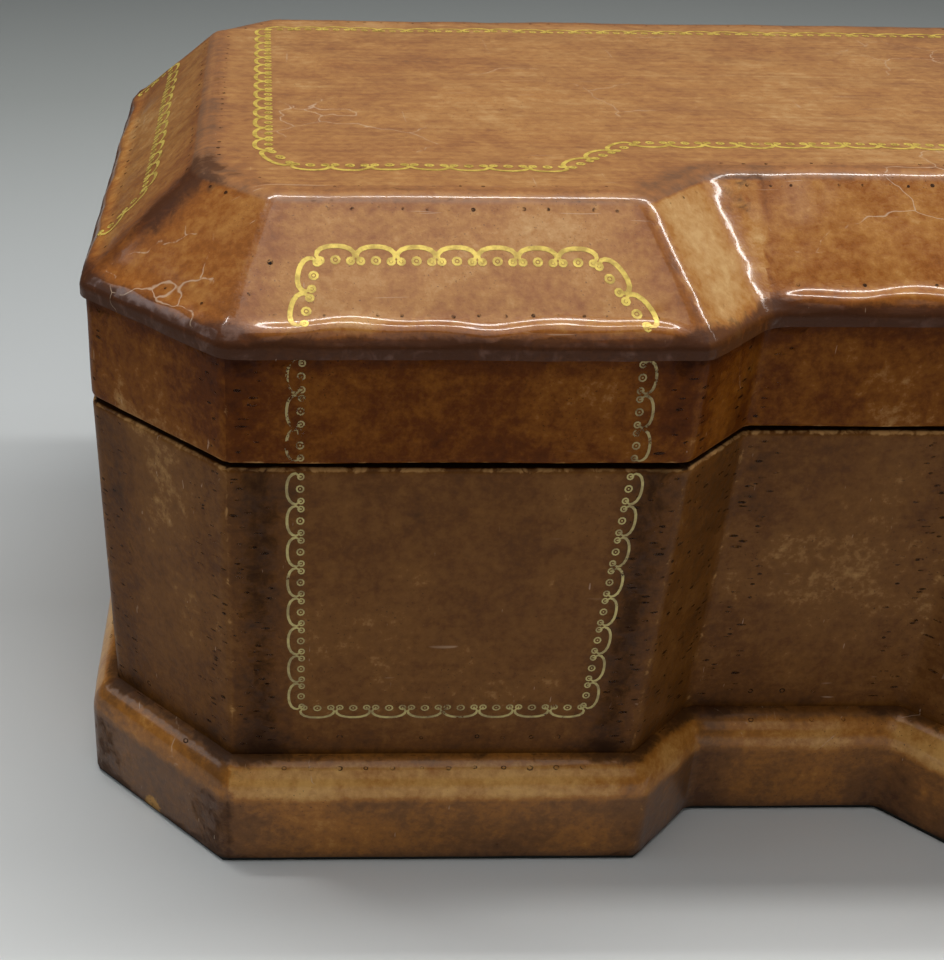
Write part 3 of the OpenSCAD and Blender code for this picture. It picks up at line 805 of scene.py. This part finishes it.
# pricks, dashes and stitches pressed along the edges
chance = random.Random(7)
marks = {"missingBeside": 0.12, "missingUpright": 0.15, "jitter": 0.35, "lift": 0.02 * mm,
         "creaseLift": 0.03 * mm, "holeLift": 0.06 * mm}
prick, dent = dotMotif("prickMotif", 0.36), dotMotif("dentMotif", 0.62, 0.26)
dash = dashMotif("dashMotif", 1.9, 0.6)


def beside(grow, pitch, z, size=1.0, clear=3.0):
    # marks in a row along the outline at depth grow and height z
    places, jitter = [], marks["jitter"]
    ring = [Vector((*p, z)) for p in corners(grow)]
    for start, end in zip(ring, ring[1:] + ring[:1]):
        along = (end - start).normalized()
        length = (end - start).length - 2 * clear * mm
        count = int(length / (pitch * mm))
        for k in range(count):
            if chance.random() < marks["missingBeside"]:
                continue
            drift = chance.uniform(-jitter, jitter) * mm
            at = start + along * (clear * mm + (k + 0.5) * length / count + drift)
            outwards = faceNormal(at).cross(along).normalized()
            wide = size * chance.uniform(0.75, 1.25)
            places.append((at + outwards * chance.uniform(-jitter, jitter) * 0.5 * mm, along, outwards,
                           (wide, wide)))
    return places


def uprights(low, high, pitch, inset, spread):
    # marks up both sides of the lines where the walls meet
    places = []
    ring = [Vector((*p, 0)) for p in corners(0)]
    outwards = Vector((0, 0, 1))
    count = int((high - low) / pitch)
    for i, corner in enumerate(ring):
        for other in (ring[(i + 1) % 12], ring[i - 1]):
            along = (other - corner).normalized()
            for k in range(count):
                if chance.random() < marks["missingUpright"]:
                    continue
                z = low + (k + chance.uniform(0.2, 0.8)) * (high - low) / count
                off = inset + chance.uniform(0, 1) ** 1.4 * spread
                at = corner + along * off * mm + outwards * z * mm
                places.append((at, along, outwards, (chance.uniform(0.5, 1.2), chance.uniform(0.5, 1.1))))
    return places


ridgeGrow = -case["bevelWidth"]
lidMarks = strew("lidPricks", prick, beside(ridgeGrow - 3.2 * mm, 4.3, 139 * mm)
                 + beside(ridgeGrow + 2.6 * mm, 4.3, 136.7 * mm, clear=4)
                 + beside(-3.4 * mm, 4.3, 123 * mm, clear=5), marks["lift"], lidLeather)
caseDashes = strew("caseStitches", dash, uprights(27, 92.5, 1.15, 1.2, 8), marks["lift"], caseLeather)
bandDashes = strew("bandStitches", dash, uprights(96.5, 115, 1.7, 1.2, 5), marks["lift"], lidBandLeather)
casePricks = strew("casePricks", dent, beside(1.6 * mm, 5.4, 29.3 * mm, clear=9, size=0.9), marks["lift"],
                   caseLeather)
plinthDents = strew("plinthDents", dent, beside(1.2 * mm, 5.6, 23.6 * mm, clear=9), marks["lift"],
                    plinthLeather)
creaseDashes = strew("creaseDashes", dash, beside(-1.2 * mm, 5.8, 25 * mm, clear=5, size=1.5),
                     marks["creaseLift"], plinthLeather)
# nail holes drawn as flat near-black discs: painted shade for the hollow of each hole
holes = [(Vector(p) * mm, Vector((1, 0, 0)), Vector((0, 0.76, 0.65)), (1.5, 1.5))
         for p in ((-118.4, -84.4, 125.7), (-114.9, -79.8, 129.7))]
nailHoles = strew("nailHoles", prick, holes, marks["holeLift"], lidLeather)


def markLook(name, colour, strength):
    look = Look(name, **{"Roughness": 0.6, "Specular IOR Level": 0.1})
    blots = look.noise(1.6 * mm, 3, 0.65)
    look.shade(Base_Color=look.mix(blots, colour, tuple(c * 0.45 for c in colour)),
               Alpha=look.step(blots, 0.4, 0.6) * strength)
    return look.material


inked = markLook("toolMark", (0.03, 0.012, 0.005), 0.85)
faint = markLook("faintMark", (0.04, 0.016, 0.006), 0.75)
# the nail-hole colour is painted shade for the inside of a hole
pierced = markLook("nailHole", (0.012, 0.008, 0.006), 1.6)
for piece, body, look in ((lidMarks, "lid", faint), (caseDashes, "case", faint), (bandDashes, "lid", faint),
                          (casePricks, "case", inked), (plinthDents, "case", faint),
                          (creaseDashes, "case", inked), (nailHoles, "lid", pierced)):
    finish(piece, body, look)

discard(bold, thin, prick, dent, dash)
print("tool marks pressed")


def velvetLook():
    look = Look("redVelvet", **{"Specular IOR Level": 0.15, "Sheen Weight": 0.3, "Sheen Roughness": 0.35,
                                "Sheen Tint": (0.9, 0.25, 0.25)})
    brushed = look.noise(1, 2, 0.5, 0.3, look.stretched((60, 38, 22), (0.3, 0.2, 0.5)))
    pile, wide = look.noise(0.5 * mm, 2, 0.6), look.noise(30 * mm, 2)
    tone = 0.5 + (brushed - 0.5) * 1.1 + (pile - 0.5) * 0.5 + (wide - 0.5) * 0.5
    look.shade(Base_Color=look.ramp(tone, (0.15, (0.03, 0.002, 0.004)), (0.5, (0.085, 0.005, 0.009)),
                                    (0.9, (0.17, 0.016, 0.02))),
               Roughness=0.8 + (pile - 0.5) * 0.2, Normal=look.bump(pile, 0.25 * mm, 0.8))
    return look.material


def silkLook():
    look = Look("goldSatin", **{"Specular IOR Level": 0.5, "Anisotropic": 0.5, "Sheen Weight": 0.2})
    weft = look.noise(1, 2, 0.5, 0, look.stretched((60, 2600, 2600)))
    warp = look.noise(1, 2, 0.5, 0, look.stretched((2600, 90, 300)))
    slub = look.noise(1, 2, 0.6, 0, look.stretched((25, 700, 700), shift=(2, 5, 1)))
    age = look.noise(26 * mm, 4, 0.6)
    tone = 0.5 + (weft - 0.5) * 0.5 + (warp - 0.5) * 0.3 + (slub - 0.5) * 0.4 + (age - 0.5) * 0.7
    look.shade(Base_Color=look.ramp(tone, (0.15, (0.3, 0.17, 0.06)), (0.5, (0.52, 0.34, 0.14)),
                                    (0.85, (0.68, 0.5, 0.25))),
               Roughness=0.36 + (weft - 0.5) * 0.2, Normal=look.bump(weft + warp * 0.7, 0.05 * mm, 0.5))
    return look.material


def plainLook(name, dark, light, size, roughness, distance, metallic=0.0, **constants):
    look = Look(name, **constants)
    fine, wide = look.noise(size, 4, 0.65), look.noise(size * 14, 3, 0.6)
    tone = fine * 0.5 + wide * 0.5
    look.shade(Base_Color=look.ramp(tone, (0.3, dark), (0.7, light)),
               Metallic=metallic + (wide - 0.5) * 0.1 * metallic,
               Roughness=roughness + (tone - 0.5) * 0.3, Normal=look.bump(fine, distance, 0.6))
    return look.material


velvet, silk = velvetLook(), silkLook()
finishes = {
    "board": plainLook("pasteboard", (0.16, 0.12, 0.075), (0.3, 0.235, 0.15), 1.2 * mm, 0.85, 0.1 * mm),
    "leather": darkBrown,
    "black_leather": plainLook("blackLeather", (0.006, 0.006, 0.006), (0.02, 0.018, 0.017), 0.7 * mm, 0.42,
                               0.1 * mm),
    "baize": plainLook("feltBase", (0.006, 0.008, 0.007), (0.02, 0.026, 0.022), 0.6 * mm, 0.95, 0.2 * mm),
    "velvet": velvet,
    "silk": silk,
    "brass": plainLook("agedBrass", (0.3, 0.17, 0.05), (0.68, 0.47, 0.19), 0.9 * mm, 0.32, 0.03 * mm, 0.95),
}
for part in frame["record"]["subparts"]:
    node = frame["nodes"][part["node"]]
    for index in range(max(1, len(node.data.materials))):
        if len(node.data.materials):
            node.data.materials[index] = finishes[part["material_slot"]]
        else:
            node.data.materials.append(finishes[part["material_slot"]])
print("finishes set")


linings = {"pitch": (3 * mm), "lip": -9.2 * mm, "case": -10.4 * mm, "rim": 96.8 * mm,
           "pad": 10.7 * mm, "floor": 7.2 * mm, "lid": -8.2 * mm, "lidEdge": -6.7 * mm,
           "lidRim": 99.5 * mm, "silk": 8.7 * mm, "tuft": 44 * mm, "tuftDeep": 1.3 * mm,
           "gather": 4.6 * mm, "lidPad": 131.6 * mm, "quilt": 26 * mm}

# velvet down the inside of the walls, turned over the black lip's shoulder
caseLining = outline("caseLining", linings["lip"] - 0.05 * mm, linings["rim"] - 0.6 * mm)
rise([(0.15 * mm, 0.35 * mm), (0.25 * mm, 0.2 * mm), (0.4 * mm, 0.03 * mm), (0.2 * mm, -0.15 * mm),
      (0.12 * mm, -0.4 * mm), (0, linings["pad"] - 1.2 * mm - linings["rim"])])
bpy.ops.mesh.delete(type="FACE")
gridCuts(linings["pitch"])
toObject()
waver(caseLining, 0.35 * mm, 14 * mm)
smooth(caseLining, 60)

# the pad on the floor, crowned and buttoned down
floorPad = outline("floorPad", linings["lip"] - 0.4 * mm, linings["floor"] + 0.1 * mm)
rise([(0, 1.2 * mm), (0.5 * mm, 0.9 * mm), (1.0 * mm, 0.7 * mm), (2.2 * mm, 0.5 * mm), (4 * mm, 0.3 * mm)])
fillEdge(linings["floor"] + 0.1 * mm)
gridCuts(linings["pitch"])
normalsOut()
toObject()
co = points(floorPad)
tuftX, tuftY = (np.mod(co[:, k] / linings["tuft"] + 0.5, 1) - 0.5 for k in (0, 1))
tuft = near(np.hypot(tuftX, tuftY), 0.14) * linings["tuftDeep"]
onTop = (co[:, 2] > linings["floor"] + 2.5 * mm).astype(float)
move(floorPad, np.stack([0 * tuft, 0 * tuft, -tuft * onTop], 1))
waver(floorPad, 0.5 * mm, 16 * mm)
smooth(floorPad, 60)

# silk gathered round the inside of the lid
lidLining = outline("lidLining", linings["lidEdge"] - 0.05 * mm, linings["lidRim"] + 0.4 * mm, faceUp=False)
acrossBevel = case["bevelWidth"] + linings["lid"]
upBevel = acrossBevel * (case["top"] - case["shoulder"]) / case["bevelWidth"]
bevelFoot = (case["shoulder"] - linings["lid"] * (case["top"] - case["shoulder"]) / case["bevelWidth"]
             - linings["silk"] / math.sin(slope))
rise([(0.2 * mm, 0.3 * mm), (0.4 * mm, 0.15 * mm), (0.45 * mm, 0), (0.3 * mm, -0.2 * mm),
      (0.1 * mm, -0.4 * mm), (0, linings["lidRim"] - bevelFoot), (0.8 * mm, -1.6 * mm),
      (acrossBevel - 0.9 * mm, 1.6 * mm - upBevel)])
bpy.ops.mesh.delete(type="FACE")
gridCuts(linings["pitch"] * 0.5, "xy")
toObject()
co = points(lidLining)
way = normals(lidLining)
sideways = np.where(np.abs(way[:, 1]) > np.abs(way[:, 0]), co[:, 0], co[:, 1])
gather = 0.5 * np.sin(2 * math.pi * sideways / linings["gather"] + 1.5 * np.sin(sideways / (11 * mm))) - 0.2
inner = np.clip((co[:, 2] - linings["lidRim"] - 1 * mm) / (3 * mm), 0, 1)
move(lidLining, way * (gather * inner * mm)[:, None])
smooth(lidLining, 80)

# the quilted pad under the lid's top
lidPad = outline("lidPad", -case["bevelWidth"] - 0.4 * mm, linings["lidPad"], faceUp=False)
rise([(0, 1.6 * mm), (0.5 * mm, 1.0 * mm), (1.0 * mm, 0.7 * mm), (2.5 * mm, 0.5 * mm)])
fillEdge(linings["lidPad"])
gridCuts(linings["pitch"] * 0.7, "xy")
normalsOut()
toObject()
co = points(lidPad)
along, across = (co[:, 0] + co[:, 1]) / linings["quilt"], (co[:, 0] - co[:, 1]) / linings["quilt"]
pillow = np.sqrt(np.abs(np.sin(math.pi * along) * np.sin(math.pi * across)))
low = (co[:, 2] < 128.5 * mm).astype(float)
fromEdge = np.clip(ringDistance(co, -case["bevelWidth"]) / (6 * mm), 0, 1)
move(lidPad, np.stack([0 * low, 0 * low, (1.2 - 2.6 * pillow) * low * fromEdge * mm], 1))
smooth(lidPad, 70)

# a covered button at each crossing of the quilting
deselect()
bpy.ops.mesh.primitive_uv_sphere_add(segments=10, ring_count=6, radius=2.4 * mm)
button = bpy.context.object
toEdit()
bpy.ops.transform.resize(value=(1, 1, 0.45))
toObject()
places = []
for i in range(-9, 10):
    for j in range(-9, 10):
        x, y = linings["quilt"] / 2 * (i + j), linings["quilt"] / 2 * (i - j)
        onPad = abs(x) < 120 * mm and -60 * mm < y < 62 * mm and (y > -46 * mm or abs(x) > 50 * mm)
        if onPad and ringDistance(np.array([[x, y, 0]]), -case["bevelWidth"])[0] > 7 * mm:
            places.append((x, y))
shape, faces = points(button), [list(p.vertices) for p in button.data.polygons]
verts, sides = [], []
for x, y in places:
    sides += [[i + len(verts) for i in face] for face in faces]
    verts += [(x + a, y + b, 127.6 * mm + c) for a, b, c in shape]
lidButtons = newPiece("lidButtons", verts, sides)
smooth(lidButtons, 80)
discard(button)

finish(caseLining, "case", velvet, ["case_lining"])
finish(floorPad, "case", velvet, ["floor_pad"])
finish(lidLining, "lid", silk, ["lid_lining"])
finish(lidPad, "lid", silk, ["lid_pad"])
finish(lidButtons, "lid", silk)


def around(grow):
    ring = [Vector((*p, 0)) for p in corners(grow)]
    return sum((b - a).length for a, b in zip(ring, ring[1:] + ring[:1]))


velvetCut = (around(linings["case"]), linings["rim"] - linings["pad"] + 2.4 * mm)
silkCut = (around(linings["lid"]) * 1.04, 36 * mm)
print("linings made", velvetCut, silkCut, sum(p.area for p in caseLining.data.polygons),
      sum(p.area for p in lidLining.data.polygons))


tray = {"out": -12.2 * mm, "floor": 66.1 * mm, "foot": 63.6 * mm, "rim": 89.6 * mm, "thick": 2.5 * mm,
        "divider": 19 * mm, "dividerThick": 2 * mm, "crossAt": 46 * mm, "gap": 0.4 * mm, "pad": 2 * mm,
        "rolls": 6, "rollPitch": 11 * mm, "rollRadius": 5.25 * mm, "rollRise": 5 * mm}
trayIn = tray["out"] - tray["thick"]
trayShell = outline("trayShell", tray["out"], tray["foot"])
rise([(0, tray["rim"] - tray["foot"] - 0.9 * mm), (0.2 * mm, 0.5 * mm), (0.5 * mm, 0.33 * mm),
      (0.55 * mm, 0.07 * mm), (0.55 * mm, -0.07 * mm), (0.5 * mm, -0.33 * mm), (0.2 * mm, -0.5 * mm),
      (0, tray["floor"] - tray["rim"] + 0.9 * mm)])
fillEdge(tray["foot"])
roundEdges(lambda e: bend(e) > math.radians(25) and climb(e) > 9 * mm, 0.8 * mm, 2)
gridCuts(linings["pitch"])
normalsOut()
toObject()
waver(trayShell, 0.3 * mm, 12 * mm)
smooth(trayShell, 60)


def divider(name, low, high):
    # an upright covered in velvet, its top rounded over
    deselect()
    bpy.ops.mesh.primitive_cube_add(size=1, location=[(a + b) / 2 for a, b in zip(low, high)])
    piece = bpy.context.object
    piece.name = piece.data.name = name
    piece.scale = [b - a for a, b in zip(low, high)]
    bpy.ops.object.transform_apply(location=True, rotation=True, scale=True)
    toEdit()
    roundEdges(lambda e: all(abs(v.co.z - high[2]) < 1e-6 for v in e.verts) and e.calc_length() > 5 * mm,
               0.85 * mm, 4)
    gridCuts(linings["pitch"])
    toObject()
    waver(piece, 0.3 * mm, 10 * mm)
    smooth(piece, 60)
    return piece


def flatPad(name, clips, ease, height):
    # a pad with the tray's plan, cut off by each plane in clips
    piece = outline(name, trayIn - tray["gap"], tray["floor"] + 0.02 * mm)
    for place, way in clips:
        bpy.ops.mesh.select_all(action="SELECT")
        bpy.ops.mesh.bisect(plane_co=place, plane_no=way, clear_outer=True)
    bpy.ops.mesh.select_mode(type="FACE")
    bpy.ops.mesh.select_all(action="SELECT")
    rise([(0, height * 0.45), (0.06 * ease * mm, height * 0.25), (0.15 * ease * mm, height * 0.18),
          (0.45 * ease * mm, height * 0.12)])
    fillEdge(tray["floor"] + 0.02 * mm)
    gridCuts(linings["pitch"])
    normalsOut()
    toObject()
    waver(piece, 0.4 * mm, 9 * mm)
    smooth(piece, 60)
    return piece


half = tray["dividerThick"] / 2
frontY = -case["depth"] / 2 + case["recessIn"] - trayIn
endX = case["length"] / 2 + trayIn
middleY = frontY + tray["rolls"] * tray["rollPitch"] + 0.6 * mm
top = tray["floor"] + tray["divider"]
crossX, sideX = tray["crossAt"] - half, tray["crossAt"] + half
deepY = case["depth"] / 2 + trayIn
dividers = {"tray_cross_divider_left": ((-sideX, -deepY, tray["floor"]), (-crossX, deepY, top)),
            "tray_cross_divider_right": ((crossX, -deepY, tray["floor"]), (sideX, deepY, top)),
            "tray_middle_divider": ((-crossX, middleY, tray["floor"]), (crossX, middleY + 2 * half, top)),
            "tray_side_divider_left": ((-endX, -half, tray["floor"]), (-sideX, half, top)),
            "tray_side_divider_right": ((sideX, -half, tray["floor"]), (endX, half, top))}
for node, (low, high) in dividers.items():
    words = node.split("_")
    piece = divider(words[0] + "".join(word.title() for word in words[1:]), low, high)
    finish(piece, "tray", velvet, [node])
finish(trayShell, "tray", velvet, ["tray_base", "tray_walls"])

pads, g = [], tray["gap"]
for side in (-1, 1):
    for end in (-1, 1):
        pads.append(flatPad("trayPad%d" % (len(pads) + 1),
                            [((side * (sideX + g), 0, 0), (-side, 0, 0)),
                             ((0, end * (half + g), 0), (0, -end, 0))], 4, tray["pad"]))
pads.append(flatPad("trayPad5", [((crossX - g, 0, 0), (1, 0, 0)), ((g - crossX, 0, 0), (-1, 0, 0)),
                                 ((0, middleY + 2 * half + g, 0), (0, -1, 0))], 4, tray["pad"]))
for side in (-1, 1):
    pads.append(flatPad("trayPad%d" % (len(pads) + 1),
                        [((side * (crossX - g), 0, 0), (side, 0, 0)),
                         ((side * 26 * mm, 0, 0), (-side, 0, 0)),
                         ((0, frontY + 0.3 * mm, 0), (0, 1, 0))], 1.5, tray["rollRise"]))
for number, pad in enumerate(pads):
    finish(pad, "tray", velvet, ["tray_pads"] if number == 0 else [])

# ring rolls: one modelled, the others copied
deselect()
bpy.ops.mesh.primitive_cylinder_add(vertices=24, radius=tray["rollRadius"], depth=2 * (crossX - 0.6 * mm),
                                    end_fill_type="NGON", rotation=(0, math.pi / 2, 0))
roll = bpy.context.object
bpy.ops.object.transform_apply(location=True, rotation=True, scale=True)
toEdit()
roundEdges(lambda e: abs(abs(middle(e).x) - (crossX - 0.6 * mm)) < 1e-5, 2.2 * mm, 4, 0.6)
gridCuts(linings["pitch"], "x")
toObject()
co = points(roll)
co[:, 2] = np.maximum(co[:, 2], 0.1 * mm - tray["rollRise"])
roll.data.vertices.foreach_set("co", co.ravel())
smooth(roll, 60)
for k in range(tray["rolls"]):
    piece = roll.copy()
    piece.data = roll.data.copy()
    piece.name = piece.data.name = "ringRoll%d" % (k + 1)
    bpy.context.scene.collection.objects.link(piece)
    move(piece, np.array([0, frontY + 0.4 * mm + tray["rollPitch"] * (k + 0.5),
                          tray["floor"] + tray["rollRise"]]))
    waver(piece, 0.45 * mm, 11 * mm)
    finish(piece, "tray", velvet, ["ring_rolls"] if k == 0 else [])
discard(roll)


def ribbon(name, path, width, thick):
    # a flat ribbon whose middle follows path, a list of (point, across, facing)
    deselect()
    bpy.ops.mesh.primitive_grid_add(x_subdivisions=len(path) - 1, y_subdivisions=6, size=1)
    piece = bpy.context.object
    piece.name = piece.data.name = name
    for vertex in piece.data.vertices:
        step = round((vertex.co.x + 0.5) * (len(path) - 1))
        at, across, facing = path[step]
        side = vertex.co.y * 2
        vertex.co = at + across * side * width / 2 + facing * (1 - side * side) * 0.12 * mm
    thicken = piece.modifiers.new("thick", "SOLIDIFY")
    thicken.thickness, thicken.offset = thick, 0
    applyModifiers(piece)
    only(piece)
    toEdit()
    normalsOut()
    toObject()
    smooth(piece, 50)
    return piece


pull = {"y": -11 * mm, "heights": (79.8, 82, 84.5, 87, 89.5, 92, 94), "width": 7.6 * mm, "thick": 0.18 * mm}
for side in (-1, 1):
    x = side * (endX - 0.1 * mm)
    up = [Vector((x - side * 0.2 * mm, pull["y"], z * mm)) for z in pull["heights"]]
    crown = [Vector((x - side * (0.4 - 0.2 * math.cos(a)) * mm, pull["y"], (94 + 1.3 * math.sin(a)) * mm))
             for a in (0.5, 1.1, 1.6, 2.1, 2.7)]
    down = [Vector((x - side * 0.6 * mm, pull["y"], z * mm)) for z in pull["heights"][::-1]]
    path = [(p, Vector((0, 1, 0)), Vector((-side, 0, 0))) for p in up + crown + down]
    piece = ribbon("trayPullLeft" if side < 0 else "trayPullRight", path, pull["width"], pull["thick"])
    finish(piece, "tray", silk, ["tray_pull_left" if side < 0 else "tray_pull_right"])

# the stays lie folded beside the tray and are straight when the lid is open
stay = {"front": 29.8 * mm, "low": 92.5 * mm, "high": 102.9 * mm, "open": math.radians(100),
        "width": 4.6 * mm, "thick": 0.3 * mm, "steps": 60}
hinge = Vector((0, 93.2 * mm, 94.5 * mm))


def swung(point, angle):
    y, z = point.y - hinge.y, point.z - hinge.z
    return Vector((point.x, hinge.y + y * math.cos(angle) + z * math.sin(angle),
                   hinge.z - y * math.sin(angle) + z * math.cos(angle)))


def share(z):
    t = min(max((z - stay["low"]) / (stay["high"] - stay["low"]), 0), 1)
    return t * t * (3 - 2 * t)


def atRest(opened):
    # where a point of the straight, opened stay lies while the lid is shut
    least, most = stay["low"] - 9 * mm, stay["high"] + 9 * mm
    for _ in range(50):
        z = (least + most) / 2
        if swung(opened, -share(z) * stay["open"]).z > z:
            least = z
        else:
            most = z
    return swung(opened, -share(z) * stay["open"])


for side in (-1, 1):
    x = side * (case["length"] / 2 + linings["case"] - 0.7 * mm)
    fixed = Vector((x, stay["front"], stay["low"]))
    far = swung(Vector((x, stay["front"], stay["high"])), stay["open"])
    way = (far - fixed).normalized()
    begin, end = fixed - way * 1.2 * mm, far + way * 1.2 * mm
    strip = [(begin + (end - begin) * k / stay["steps"], Vector((0, -way.z, way.y)), Vector((1, 0, 0)))
             for k in range(stay["steps"] + 1)]
    piece = ribbon("stayLeft" if side < 0 else "stayRight", strip, stay["width"], stay["thick"])
    for vertex in piece.data.vertices:
        vertex.co = atRest(vertex.co)
    piece.data.update()
    cover(piece, silk)
    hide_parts("stay_ribbon_left" if side < 0 else "stay_ribbon_right")
    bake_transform(piece)
print("inside furnished")


deselect()
bpy.ops.mesh.primitive_plane_add(size=1, location=(0, 0, 0))
floor = bpy.context.object
floor.name = "floor"
toEdit()
bpy.ops.transform.resize(value=(9, 9, 1))
toObject()
# the paper's colour paints light and shade: brightest in front of the case, darker round it, a lighter strip
# behind and darker again far back, as the light falls off
sweep = Look("paperSweep", Roughness=0.6)
back = sweep.node("ShaderNodeSeparateXYZ", {0: sweep.place}, output=1)
sweep.shade(Base_Color=sweep.ramp(back + 0.5, (0.32, (0.93, 0.95, 0.95)), (0.5, (0.49, 0.5, 0.5)),
                                  (0.62, (0.56, 0.58, 0.59)), (1.0, (0.45, 0.47, 0.46))))
floor.data.materials.append(sweep.material)

world = bpy.data.worlds.new("room")
bpy.context.scene.world = world
world.use_nodes = True
world.node_tree.nodes["Background"].inputs["Color"].default_value = (0.8, 0.86, 0.9, 1)
world.node_tree.nodes["Background"].inputs["Strength"].default_value = 0.07

lights = {
    "softbox": {"place": (-0.12, -0.24, 0.9), "aim": (0, -0.05, 0.1), "size": (0.7, 0.5), "power": 1.7,
                "colour": (1, 0.99, 0.97)},
    "strip": {"place": (0.2, 0.09, 0.8), "aim": (0.2, 0, 0.1), "size": (1.4, 0.05), "power": 7.1,
              "colour": (1, 0.99, 0.96)},
    "window": {"place": (-1.5, 0.1, 0.9), "aim": (0, 0, 0.05), "size": (0.7, 0.6), "power": 3.0,
               "colour": (0.86, 0.94, 1)},
    "fill": {"place": (0.1, -0.9, 0.6), "aim": (0, -0.2, 0), "size": (0.6, 0.4), "power": 0.55,
             "colour": (1, 0.98, 0.95)},
}
for name, one in lights.items():
    bpy.ops.object.light_add(type="AREA", location=one["place"])
    light = bpy.context.object
    light.name = name
    light.data.shape = "RECTANGLE"
    light.data.size, light.data.size_y = one["size"]
    light.data.energy = one["power"]
    light.data.color = one["colour"]
    light.rotation_euler = (Vector(one["aim"]) - Vector(one["place"])).to_track_quat("-Z", "Y").to_euler()
bpy.context.scene.view_settings.view_transform = "Standard"
print("floor and lights set")
